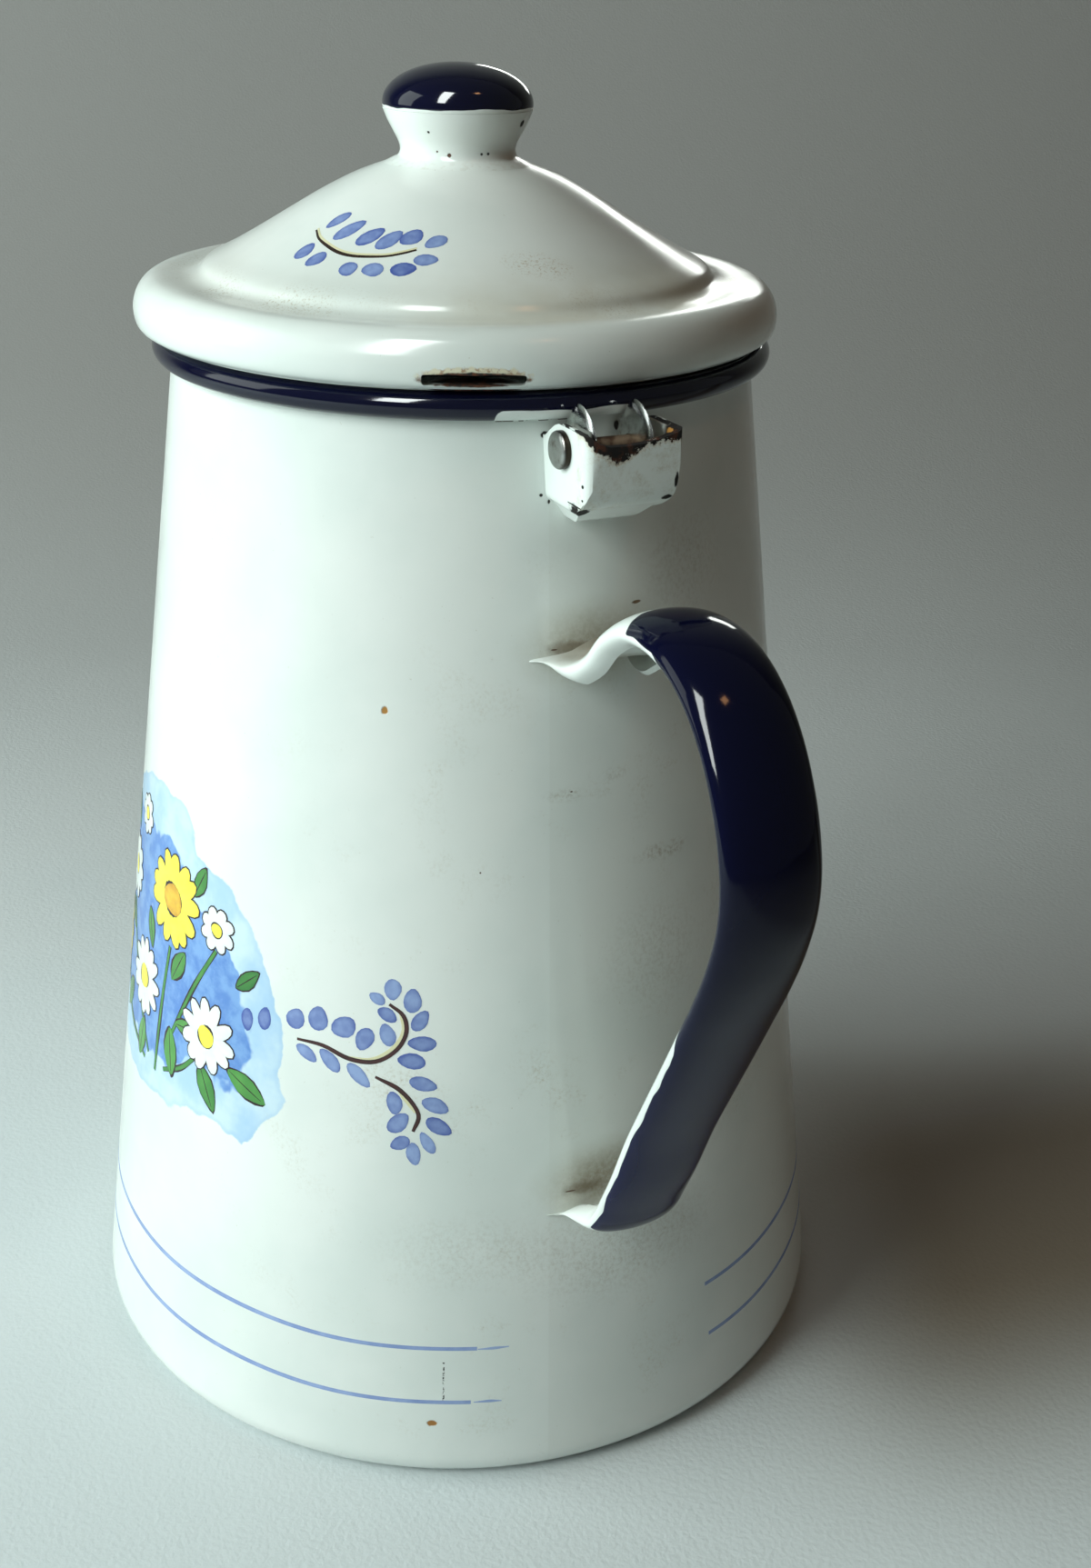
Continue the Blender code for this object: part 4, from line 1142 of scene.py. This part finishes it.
def make_lid():
    """The lathed shell with the hinge slot cut through its roll."""
    blank = bare("lid_blank", lathe(LID_LINE + offset_line(LID_LINE, SHEET)[::-1], LID_STEPS))
    half = SLOT_LONG / 2
    high = SLOT_LOW + SLOT_TALL
    ends = [(-half, SLOT_LOW - 0.1 * MM, 0.7 * MM), (-half / 2, SLOT_LOW + 0.1 * MM, 1.5 * MM),
            (half / 2, SLOT_LOW, 1.5 * MM), (half, SLOT_LOW - 0.1 * MM, 0.9 * MM),
            (half, high - 0.1 * MM, 0.7 * MM), (half / 3, high + 0.1 * MM, 1.2 * MM),
            (0, high - 0.05 * MM, 1.2 * MM), (-half / 2, high + 0.08 * MM, 1.5 * MM),
            (-half, high, 0.5 * MM)]
    slot = prism("lid_slot", rounded(ends), LID_RADIUS - 4 * MM, LID_RADIUS + 4 * MM, "X")
    bm = joined(blank, ((slot, "DIFFERENCE"),), False)
    finish_mesh("lid_enamel", bm, lid_material(), "lid", "lid_shell", 40, LID_PLACE)


def lid_material():
    """White enamel with dirt in the groove, a brown film there that is partly painted shade, and rust and
    painted shade round the slot.
    """
    shade = enamel("lid_enamel", 0.36)
    deep, radius = shade.split()[1::2]
    fine = shade.patchy(2200.0, 4.0, 0.50, 0.72, 0.7)
    rise = shade.ramp(radius, SHOULDER_RADIUS - 4 * MM, GROOVE_RADIUS)
    in_groove = rise * shade.ramp(radius, CREST_RADIUS + 2 * MM, GROOVE_RADIUS + 1 * MM)
    shade.tint(in_groove * shade.patchy(70.0, 4.0, 0.42, 0.66) * fine * 0.8, (0.33, 0.25, 0.13))
    # A brown film near the groove: partly dirt, and partly painted shade, as it grows stronger towards the
    # lid's +Y side, which lies in shade.
    rise = shade.ramp(radius, SHOULDER_RADIUS - 14 * MM, GROOVE_RADIUS)
    film_and_side_shade = rise * shade.ramp(radius, CREST_RADIUS + 3 * MM, GROOVE_RADIUS + 1 * MM)
    film_and_side_shade = film_and_side_shade * shade.patchy(38.0, 4.0, 0.30, 0.62, 0.6, 0.15, 0.55)
    shade.tint(film_and_side_shade * shade.ramp(deep, -0.025, 0.02, 0.25), (0.50, 0.44, 0.31))
    smear = shade.spot(on_lid(34.2, 11.6, 0), (0.0026, 0.0052, 0.003), 0.4, 0.6, 300.0)
    shade.tint(smear * fine * 0.75, (0.40, 0.28, 0.14))
    halo = (LID_RADIUS, 0, SLOT_LOW + 0.85 * SLOT_TALL)
    halo = shade.spot(halo, (0.004, 0.0088, 0.00145), 0.50, 0.14, 900.0)
    tan = shade.mix(shade.patchy(900.0, 3.0, 0.46, 0.60), (0.74, 0.68, 0.48), (0.36, 0.17, 0.05))
    shade.tint(halo * 0.8, tan)
    # Rust round the slot, and a dark ring of painted shade that makes the slot's shaded opening look
    # taller.
    slot_rust_and_shade = (LID_RADIUS, 0, SLOT_LOW + SLOT_TALL / 2)
    slot_rust_and_shade = shade.spot(slot_rust_and_shade, (0.004, 0.0089, 0.00122), 0.22, 0.10, 900.0)
    rust = shade.mix(shade.patchy(1100.0, 3.0, 0.40, 0.60), CHAR, (0.13, 0.042, 0.016))
    shade.lay(slot_rust_and_shade, rust, 0.7, 0.3)
    return shade


def make_collar():
    seat = RIM_TOP + 0.3 * MM
    top = seat + SHEET
    edge = LIP_RADIUS - SHEET - 0.3 * MM
    skirt = MOUTH_RADIUS - 1.4 * MM
    bend = arc((skirt + 1.2 * MM, seat - 1.2 * MM), 1.2 * MM, math.pi / 2, math.pi, 8)
    inner = [(skirt, seat - 12.9 * MM), (skirt - SHEET, seat - 12.9 * MM), (skirt - SHEET, top - 0.6 * MM),
             (skirt - 0.8 * SHEET, top - 0.2 * MM), (skirt - 0.4 * SHEET, top)]
    bm = lathe([(edge, top), (edge, seat)] + [tuple(v) for v in bend] + inner, LID_STEPS)
    shade = enamel("collar_enamel")
    behind_slot = shade.spot((LIP_RADIUS, 0, top), (0.007, 0.0075, 0.0035), 0.15, 0.2, 500.0)
    rust = shade.mix(shade.patchy(900.0, 3.0, 0.42, 0.62), CHAR, (0.10, 0.030, 0.012))
    shade.lay(behind_slot, rust, 0.7, 0.3)
    finish_mesh("collar_enamel", bm, shade, "lid", "lid_collar", 40, LID_PLACE)


def lid_height(radius):
    return on_lid(radius / MM, 0, 0).z


NECK_FOOT = lid_height(11.3 * MM)
NECK_TOP = NECK_FOOT + 0.3 * MM + 8.2 * MM


def make_neck():
    """The waisted neck with a soft fillet onto the dome."""
    outer = smooth([(12.95 * MM, NECK_TOP), (12.3 * MM, NECK_TOP - 1.6 * MM),
                    (11.2 * MM, NECK_TOP - 3.7 * MM), (10.35 * MM, NECK_TOP - 5.3 * MM),
                    (10.0 * MM, NECK_TOP - 6.6 * MM), (10.35 * MM, NECK_TOP - 7.7 * MM),
                    (11.5 * MM, lid_height(11.5 * MM) + 0.25 * MM),
                    (12.8 * MM, lid_height(12.8 * MM) + 0.02 * MM)], 5)
    low = lid_height(9.4 * MM) + 0.1 * MM
    inner = [Vector((9.4 * MM, low)), Vector((8.9 * MM, NECK_TOP - 6.0 * MM)),
             Vector((11.6 * MM, NECK_TOP))]
    bm = lathe(outer + inner, 96)
    shade = enamel("neck_enamel")
    foot = shade.ramp(shade.split()[2], NECK_FOOT + 1.8 * MM, NECK_FOOT - 0.4 * MM)
    fine = shade.patchy(900.0, 3.0, 0.50, 0.64)
    shade.tint(foot * fine * 0.15, (0.34, 0.26, 0.14))
    for turn, reach, up, size, tint in (
        (-8.0, 10.05, 1.7, 0.34, RUST), (24.0, 10.0, 1.9, 0.22, CHAR), (31.0, 10.0, 1.9, 0.22, CHAR),
        (-25.0, 11.5, 5.4, 0.24, CHAR), (-20.0, 10.0, 2.2, 0.16, RUST), (64.0, 12.1, 6.6, 0.66, CHAR),
    ):
        a = math.radians(turn) - LID_TURN + math.radians(CAMERA_POLAR)
        centre = (reach * MM * math.cos(a), reach * MM * math.sin(a), NECK_FOOT + up * MM)
        mask = shade.spot(centre, (size * MM,) * 3, 0.4, 0.2, 1600.0)
        shade.lay(mask, tint, 0.6, 0.5)
    finish_mesh("neck_enamel", bm, shade, "lid", "knob_neck", 40, LID_PLACE)


def make_cap():
    """The navy domed cap. Its paint ends in a wavering line a little above the neck."""
    low = NECK_TOP + 0.02 * MM
    bulge = low + 0.7 * MM
    dome = [(13.0 * MM * math.sin(a), bulge + 6.7 * MM * math.cos(a) ** 0.95) for a in quarter(24)]
    outer = dome + [(12.95 * MM, bulge - 0.4 * MM), (12.8 * MM, low)]
    inner = [(11.8 * MM, low), (11.8 * MM, bulge), (9.0 * MM, bulge + 3.4 * MM), (0, bulge + 4.8 * MM)]
    bm = lathe(outer + inner, 96)
    shade = enamel("cap_enamel")
    up = shade.split()[2]
    edge = up + shade.noise(160.0, 2.0) * (1.0 * MM)
    paint = shade.ramp(edge, low + 1.0 * MM, low + 1.1 * MM)
    shade.paint(paint, 0.08)
    finish_mesh("cap_enamel", bm, shade, "lid", "knob_cap", 50, LID_PLACE)


# Decoration


def make_base_lines():
    """Two thin brushed lines round the foot, which stop short of the handle on both sides."""
    lines = Decals(on_wall, wall_step)
    for height, start, end in ((28.75, 17.2, 339.5), (17.5, 17.6, 338.6)):
        count = 60
        path = []
        for i in range(count + 1):
            turn = start + (end - start) * i / count
            waver = 0.18 * math.sin(math.radians(3 * turn)) + 0.1 * math.sin(math.radians(11 * turn))
            path.append((turn, height + waver))
        lines.ribbon(path, 0.95, 0.035 * MM, 0.5, 0.35, 3)
    lines.ribbon([(-20.4, 28.5), (-18.0, 28.6), (-15.9, 28.7)], 0.5, 0.03 * MM, 0.1)
    lines.ribbon([(-21.0, 17.4), (-18.6, 17.5), (-17.0, 17.4)], 0.5, 0.03 * MM, 0.1)
    lines.close("base_lines", ink("line_ink", (0.36, 0.47, 0.74), (0.12, 0.20, 0.50), 0.2, 260.0), "pot")


# Leaves of the body's sprig: polar angle, height, lean above the horizontal, length, width, tone
BODY_LEAVES = (
    (-58.5, 86.8, 92, 4.2, 2.5, 1.15), (-55.1, 88.1, 80, 4.3, 2.6, 1.15), (-49.4, 89.9, 72, 4.2, 3.1, 0.70),
    (-45.5, 90.9, 74, 4.5, 3.5, 0.68), (-41.2, 90.3, 42, 4.8, 3.5, 0.60), (-37.8, 88.7, 70, 4.4, 3.0, 0.72),
    (-34.2, 89.9, 102, 4.2, 2.6, 0.30), (-34.3, 93.7, 154, 3.7, 2.2, 0.80),
    (-35.9, 96.5, 144, 3.0, 1.9, 0.15), (-33.5, 98.5, 96, 3.8, 2.8, 0.0), (-30.4, 96.6, 80, 4.4, 2.9, 0.28),
    (-29.2, 93.0, 54, 4.3, 2.4, 0.62), (-28.8, 88.8, 5, 4.9, 2.6, 0.92), (-30.4, 85.4, -7, 5.1, 2.6, 0.97),
    (-28.7, 81.2, -15, 4.8, 2.5, 0.60), (-26.8, 77.2, -22, 4.7, 2.7, 0.40),
    (-26.3, 73.2, -28, 5.2, 2.5, 0.85), (-47.3, 84.0, 146, 4.6, 2.1, 0.42),
    (-43.3, 83.5, 138, 5.2, 2.4, 0.42), (-38.7, 81.7, 138, 5.4, 2.4, 0.05),
    (-33.0, 77.2, 95, 4.4, 2.5, 0.45), (-32.4, 73.4, 42, 4.7, 2.8, 0.66), (-32.0, 69.6, 26, 3.9, 2.2, 0.70),
    (-30.0, 67.7, 100, 4.2, 2.4, 0.06), (-27.9, 69.9, 118, 4.4, 2.0, 0.0),
)
BODY_STEMS = (
    ((-49.0, 86.2), (-44.6, 86.1), (-40.1, 84.5), (-36.0, 84.7), (-32.7, 87.4), (-31.3, 90.8),
     (-31.8, 93.8), (-34.0, 95.7)),
    ((-36.0, 81.8), (-32.1, 79.7), (-29.3, 75.3), (-30.1, 72.0)),
)


# Blooms of the posy: polar angle, height, petals, length, petal width, middle's radius, kind
BLOOMS = (
    (-79.0, 101.5, 13, 9.2, 3.5, 3.3, "yellow"), (-67.4, 79.5, 11, 7.4, 2.9, 2.2, "white"),
    (-89.0, 80.5, 12, 7.8, 2.9, 2.4, "white"), (-66.0, 101.0, 8, 4.4, 2.5, 1.4, "white"),
    (-100.5, 98.0, 10, 6.4, 2.8, 2.0, "white"), (-108.5, 81.0, 12, 7.6, 3.0, 2.8, "yellow"),
    (-93.5, 112.0, 8, 4.0, 2.3, 1.3, "white"), (-117.0, 93.0, 8, 4.2, 2.4, 1.4, "white"),
)
# Leaves of the posy: polar angle, height, lean, length, width
POSY_LEAVES = (
    (-58.3, 73.5, -24, 9.5, 4.4), (-66.8, 69.5, -62, 9.0, 4.4), (-76.0, 89.5, 60, 8.0, 3.8),
    (-77.0, 71.5, -80, 9.5, 4.6), (-73.0, 78.5, 10, 6.5, 3.0), (-88.5, 68.0, -100, 8.5, 4.2),
    (-98.5, 71.5, -125, 9.0, 4.4), (-110.0, 69.5, 200, 9.0, 4.2), (-70.8, 108.2, 62, 7.0, 3.2),
    (-87.0, 92.0, 110, 7.5, 3.4), (-58.8, 94.0, 40, 6.5, 3.0), (-101.0, 87.5, 150, 7.5, 3.4),
    (-103.0, 108.5, 120, 7.0, 3.2), (-120.5, 82.5, 170, 8.0, 3.8),
)
POSY_STEMS = (
    ((-79.0, 92.0), (-80.5, 82.0), (-81.5, 72.0), (-82.0, 64.5)),
    ((-69.5, 74.5), (-73.5, 70.0), (-79.0, 66.5)), ((-66.0, 97.0), (-71.0, 88.0), (-77.5, 74.0)),
    ((-100.5, 91.0), (-94.0, 80.0), (-85.0, 66.5)), ((-105.0, 74.5), (-96.0, 68.0), (-86.5, 64.5)),
)


def make_posy():
    """A plain posy of daisies on the wash, in flat colours with brown outlines."""
    paints = {
        "brown": ink("posy_brown", (0.035, 0.016, 0.016), (0.015, 0.008, 0.012), 0.2),
        "green": ink("posy_green", (0.10, 0.34, 0.07), (0.02, 0.14, 0.035), 0.2, 220.0),
        "white": ink("posy_white", (0.86, 0.90, 0.84), (0.60, 0.74, 0.84), 0.25, 260.0),
        "yellow": ink("posy_yellow", (0.95, 0.88, 0.10), (0.88, 0.62, 0.03), 0.25, 240.0),
        "amber": ink("posy_amber", (0.90, 0.55, 0.05), (0.42, 0.15, 0.02), 0.35, 600.0),
    }
    layers = {name: Decals(on_wall, wall_step) for name in paints}
    for path in POSY_STEMS:
        layers["brown"].ribbon(path, 1.25, 0.03 * MM, 0.5, 0.3)
        layers["green"].ribbon(path, 0.8, 0.045 * MM, 0.7, 0.3)
    for turn, height, lean, length, width in POSY_LEAVES:
        layers["brown"].leaf((turn, height), length, width, lean, 0.05 * MM, 0.5, 0.45, 0.3)
        layers["green"].leaf((turn, height), length, width, lean, 0.065 * MM, None, 0.45)
        along = Vector((math.cos(math.radians(lean)), math.sin(math.radians(lean)))) * length
        low, high = (wall_step(turn, height, *(along * share)) for share in (-0.45, 0.42))
        layers["brown"].ribbon([low, (turn, height), high], 0.22, 0.08 * MM, 0.5, 0.8)
    for turn, height, count, length, width, middle, kind in BLOOMS:
        for name, lift, grow in (("brown", 0.085, 0.28), (kind, 0.10, 0.0)):
            layers[name].random.seed(count * 100 + int(height))
            layers[name].petals((turn, height), count, length, width, lift * MM, 0.2, grow, turn)
        layers["brown"].disc((turn, height), middle, 0.115 * MM, 0.5, 0.25)
        layers["amber" if kind == "yellow" else "yellow"].disc((turn, height), middle, 0.13 * MM, 0.3)
    for name, layer in layers.items():
        layer.close("posy_" + name, paints[name], "pot")


def make_body_sprigs():
    """A curled sprig beside the wash, and the same mirrored on its other side."""
    leaves, stems, glow = (Decals(on_wall, wall_step) for _ in range(3))
    for mirrored in (False, True):
        side, base = (-1, -180) if mirrored else (1, 0)
        for turn, height, lean, length, width, tone in BODY_LEAVES:
            lean = 180 - lean if mirrored else lean
            at = (base + side * turn, height)
            leaves.leaf(at, 1.02 * length, 1.14 * width, lean, 0.04 * MM, tone, 0.15)
        for path in BODY_STEMS:
            path = [(base + side * turn, height) for turn, height in path]
            stems.ribbon(path, 0.85, 0.05 * MM, 0.5, 0.6)
            inside = [(turn - 0.5 * side, height + 0.35) for turn, height in path[len(path) // 3:-1]]
            glow.ribbon(inside, 0.7, 0.035 * MM, 0.5, 0.8)
    leaves.close("body_sprig_leaves", ink("leaf_ink", PERIWINKLE_PALE, PERIWINKLE), "pot")
    dark = ink("stem_ink", (0.085, 0.026, 0.024), (0.022, 0.010, 0.012), 0.5)
    stems.close("body_sprig_stems", dark, "pot")
    glow.close("body_sprig_glow", ink("glow_ink", *GLOW, 0.1), "pot")


# Leaves of the lid's sprig: angle from the slot, plan radius, lean, length, width, tone
LID_LEAVES = (
    (-46.9, 28.0, 50, 4.6, 1.9, 0.55), (-39.1, 29.8, 40, 5.9, 2.3, 0.40), (-30.2, 30.7, 40, 5.6, 2.2, 0.70),
    (-23.5, 31.1, 38, 5.3, 2.3, 0.45), (-16.8, 30.2, 43, 4.3, 2.4, 0.62), (-9.0, 30.9, 24, 3.9, 2.0, 0.12),
    (-47.5, 35.4, 64, 4.2, 2.2, 0.66), (-41.3, 36.6, 58, 4.0, 2.2, 0.62), (-30.2, 37.8, 12, 3.1, 2.6, 0.42),
    (-23.7, 37.5, 2, 3.5, 2.6, 0.20), (-16.2, 37.0, -10, 4.1, 2.5, 1.0), (-11.1, 34.8, -14, 3.8, 2.1, 0.22),
)
LID_STEM = (
    (-51.8, 30.8), (-47.5, 32.3), (-42.7, 33.4), (-36.5, 34.6), (-31.5, 35.0), (-26.0, 34.8), (-21.5, 34.4),
    (-17.5, 33.6), (-14.2, 32.8),
)


def make_lid_sprigs():
    """The sprig on the dome, given where it lies in the lid's own plan, and the same opposite."""
    leaves, stems, glow = (Decals(on_lid, lid_step) for _ in range(3))
    for half_turn in (False, True):
        def at(turn, radius):
            a = math.radians(turn + (180 if half_turn else 0))
            return radius * math.cos(a), radius * math.sin(a)
        for turn, radius, lean, length, width, tone in LID_LEAVES:
            size = (1.03 * length, 1.40 * width)
            leaves.leaf(at(turn, radius), *size, lean + 17, 0.04 * MM, tone + 0.2, 0.15)
        path = [at(turn, radius) for turn, radius in LID_STEM]
        stems.ribbon(path, 0.62, 0.05 * MM, 0.5, 0.6)
        inside = [at(turn, radius - 0.42) for turn, radius in LID_STEM]
        glow.ribbon(inside, 0.62, 0.035 * MM, 0.5, 0.6)
    dark = ink("lid_stem_ink", (0.05, 0.03, 0.02), (0.018, 0.012, 0.014), 0.4)
    leaves.close("lid_sprig_leaves", ink("lid_leaf_ink", PERIWINKLE_PALE, PERIWINKLE), "lid", LID_PLACE)
    stems.close("lid_sprig_stems", dark, "lid", LID_PLACE)
    glow.close("lid_sprig_glow", ink("lid_glow_ink", *GLOW, 0.1), "lid", LID_PLACE)


# Floor, light and camera


SWEEP_BEND = 0.5
SWEEP_HALF = 1.8
FLOOR_DROP = 0.2 * MM


def make_stage():
    """A pale sweep: the floor runs back and curves up into the backdrop. Its colour holds painted shade
    towards the back and the pot's painted shadow to its right.
    """
    toward = Vector((math.cos(math.radians(CAMERA_POLAR)), math.sin(math.radians(CAMERA_POLAR)), 0))
    side = Vector((-toward.y, toward.x, 0))
    line = [(0.9, 0.0), (0.4, 0.0), (0.0, 0.0), (-0.20, 0.0), (-0.30, 0.004)]
    line += [(-0.30 - SWEEP_BEND * math.sin(a), SWEEP_BEND - SWEEP_BEND * math.cos(a))
             for a in quarter(12, 1)]
    line += [(-0.30 - SWEEP_BEND, 1.6)]
    bm = bmesh.new()
    rows = []
    for along, height in line:
        middle = toward * along + Vector((0, 0, height - FLOOR_DROP))
        rows.append([bm.verts.new(middle + side * across) for across in (-SWEEP_HALF, SWEEP_HALF)])
    for low, high in zip(rows, rows[1:]):
        bm.faces.new((low[0], low[1], high[1], high[0]))
    sweep = bare("sweep", bm, False)
    sweep.data.shade_smooth()
    shade = Shade("sweep_paper")
    shade.colour = shade.mix(shade.patchy(6.0, 3.0, 0.3, 0.7), (0.66, 0.71, 0.72), (0.62, 0.67, 0.68))
    shade.rough = 0.85
    shade.height = shade.noise(900.0, 3.0)
    back = shade.vector("DOT_PRODUCT", shade.place, toward, "Value")
    # Painted shade: the paper darkens towards the back, where less lamp light reaches.
    shade.tint(shade.ramp(back, -0.02, -0.62), (0.36, 0.36, 0.35))
    # Painted shadow: a dark brown band on the floor to the pot's right, where its shadow falls, and painted
    # shade further out on that side.
    beside = shade.vector("DOT_PRODUCT", shade.place, side, "Value")
    leaning = back + beside * 0.25
    band = shade.ramp(leaning, 0.125, 0.045) * shade.ramp(leaning, -0.055, 0.006)
    painted_shadow = shade.ramp(beside, 0.05, 0.11, 0.0, 0.88) * band
    painted_shade_right = shade.ramp(beside, 0.15, 0.24, 0.0, 0.5) * shade.ramp(back, -0.06, 0.02)
    shade.tint(shade.math("MAXIMUM", painted_shadow, painted_shade_right), (0.150, 0.096, 0.036))
    sweep.data.materials.append(shade.close(0.00015))


def add_light(name, azimuth, elevation, distance, width, height, power, tint, aim=(0, 0, 0.11)):
    """An area lamp, placed by its direction from the pot, to the right of the camera in degrees."""
    data = bpy.data.lights.new(name, "AREA")
    data.shape = "RECTANGLE"
    data.size = width
    data.size_y = height
    data.energy = power
    data.color = tint
    lamp = bpy.data.objects.new(name, data)
    bpy.context.scene.collection.objects.link(lamp)
    a, e = math.radians(CAMERA_POLAR + azimuth), math.radians(elevation)
    away = Vector((math.cos(a) * math.cos(e), math.sin(a) * math.cos(e), math.sin(e)))
    aim = Vector(aim)
    lamp.location = aim + away * distance
    lamp.rotation_euler = away.to_track_quat("Z", "Y").to_euler()
    return lamp


def make_lights():
    world = bpy.context.scene.world or bpy.data.worlds.new("world")
    bpy.context.scene.world = world
    world.use_nodes = True
    rays = world.node_tree.nodes.new("ShaderNodeLightPath").outputs
    seen = rays["Is Camera Ray"]
    for kind in ("Is Glossy Ray", "Is Transmission Ray"):
        either = world.node_tree.nodes.new("ShaderNodeMath")
        either.operation = "MAXIMUM"
        world.node_tree.links.new(seen, either.inputs[0])
        world.node_tree.links.new(rays[kind], either.inputs[1])
        seen = either.outputs[0]
    background = world.node_tree.nodes["Background"].inputs
    sky = world.node_tree.nodes.new("ShaderNodeMix")
    sky.data_type = "RGBA"
    sky.inputs[6].default_value = (0.042, 0.030, 0.020, 1)
    sky.inputs[7].default_value = (0.10, 0.105, 0.105, 1)
    world.node_tree.links.new(seen, sky.inputs["Factor"])
    world.node_tree.links.new(sky.outputs[2], background["Color"])
    background["Strength"].default_value = 1.0
    add_light("window", -51, 30, 1.0, 0.36, 0.50, 6.4, (0.89, 1.0, 0.97)).visible_glossy = False
    add_light("room_left", -84, 26, 1.1, 0.7, 0.8, 9.2, (0.88, 1.0, 0.97)).visible_glossy = False
    add_light("glint", -26, 50, 1.0, 0.20, 0.80, 12.0, (0.93, 1.0, 0.98)).visible_diffuse = False
    add_light("sheen", -88, 28, 1.0, 0.5, 0.8, 2.6, (0.90, 1.0, 0.98)).visible_diffuse = False
    add_light("strip", 166, 20, 0.8, 0.30, 0.09, 0.09, (0.95, 1.0, 0.95)).data.spread = math.radians(70)
    add_light("warm", 52, 66, 1.1, 0.10, 0.08, 0.25, (1.0, 0.50, 0.22))


def make_camera():
    """The photograph's view, found by matching rims, knob and handle."""
    yaw, pitch, roll = 0.0492, 0.4249, -0.0235
    right = Vector((math.cos(yaw), -math.sin(yaw), 0))
    forward = Vector((math.cos(pitch) * math.sin(yaw), math.cos(pitch) * math.cos(yaw), -math.sin(pitch)))
    up = right.cross(forward)
    across = right * math.cos(roll) - up * math.sin(roll)
    above = right * math.sin(roll) + up * math.cos(roll)
    lay = Matrix((across, above, -forward)).transposed().to_4x4()
    lay.translation = Vector((0.0, -0.3409, 0.2632))
    data = bpy.data.cameras.new("camera")
    data.sensor_fit = "VERTICAL"
    data.sensor_height = 36
    data.lens = 42.98
    camera = bpy.data.objects.new("camera", data)
    bpy.context.scene.collection.objects.link(camera)
    camera.matrix_world = Matrix.Rotation(math.radians(CAMERA_AZIMUTH), 4, "Z") @ lay
    bpy.context.scene.camera = camera


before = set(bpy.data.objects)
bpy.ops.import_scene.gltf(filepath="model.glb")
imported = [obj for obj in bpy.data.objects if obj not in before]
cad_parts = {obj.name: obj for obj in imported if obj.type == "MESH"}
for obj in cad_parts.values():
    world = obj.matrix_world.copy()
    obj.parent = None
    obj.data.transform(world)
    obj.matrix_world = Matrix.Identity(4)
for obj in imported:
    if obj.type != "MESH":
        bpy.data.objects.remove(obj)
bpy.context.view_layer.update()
bpy.context.scene.view_settings.view_transform = "Standard"
make_camera()
make_stage()
make_lights()
make_body()
make_base()
make_spout()
make_handle()
make_bracket()
make_pin()
make_leaf()
make_lid()
make_collar()
make_neck()
make_cap()
make_base_lines()
make_posy()
make_body_sprigs()
make_lid_sprigs()
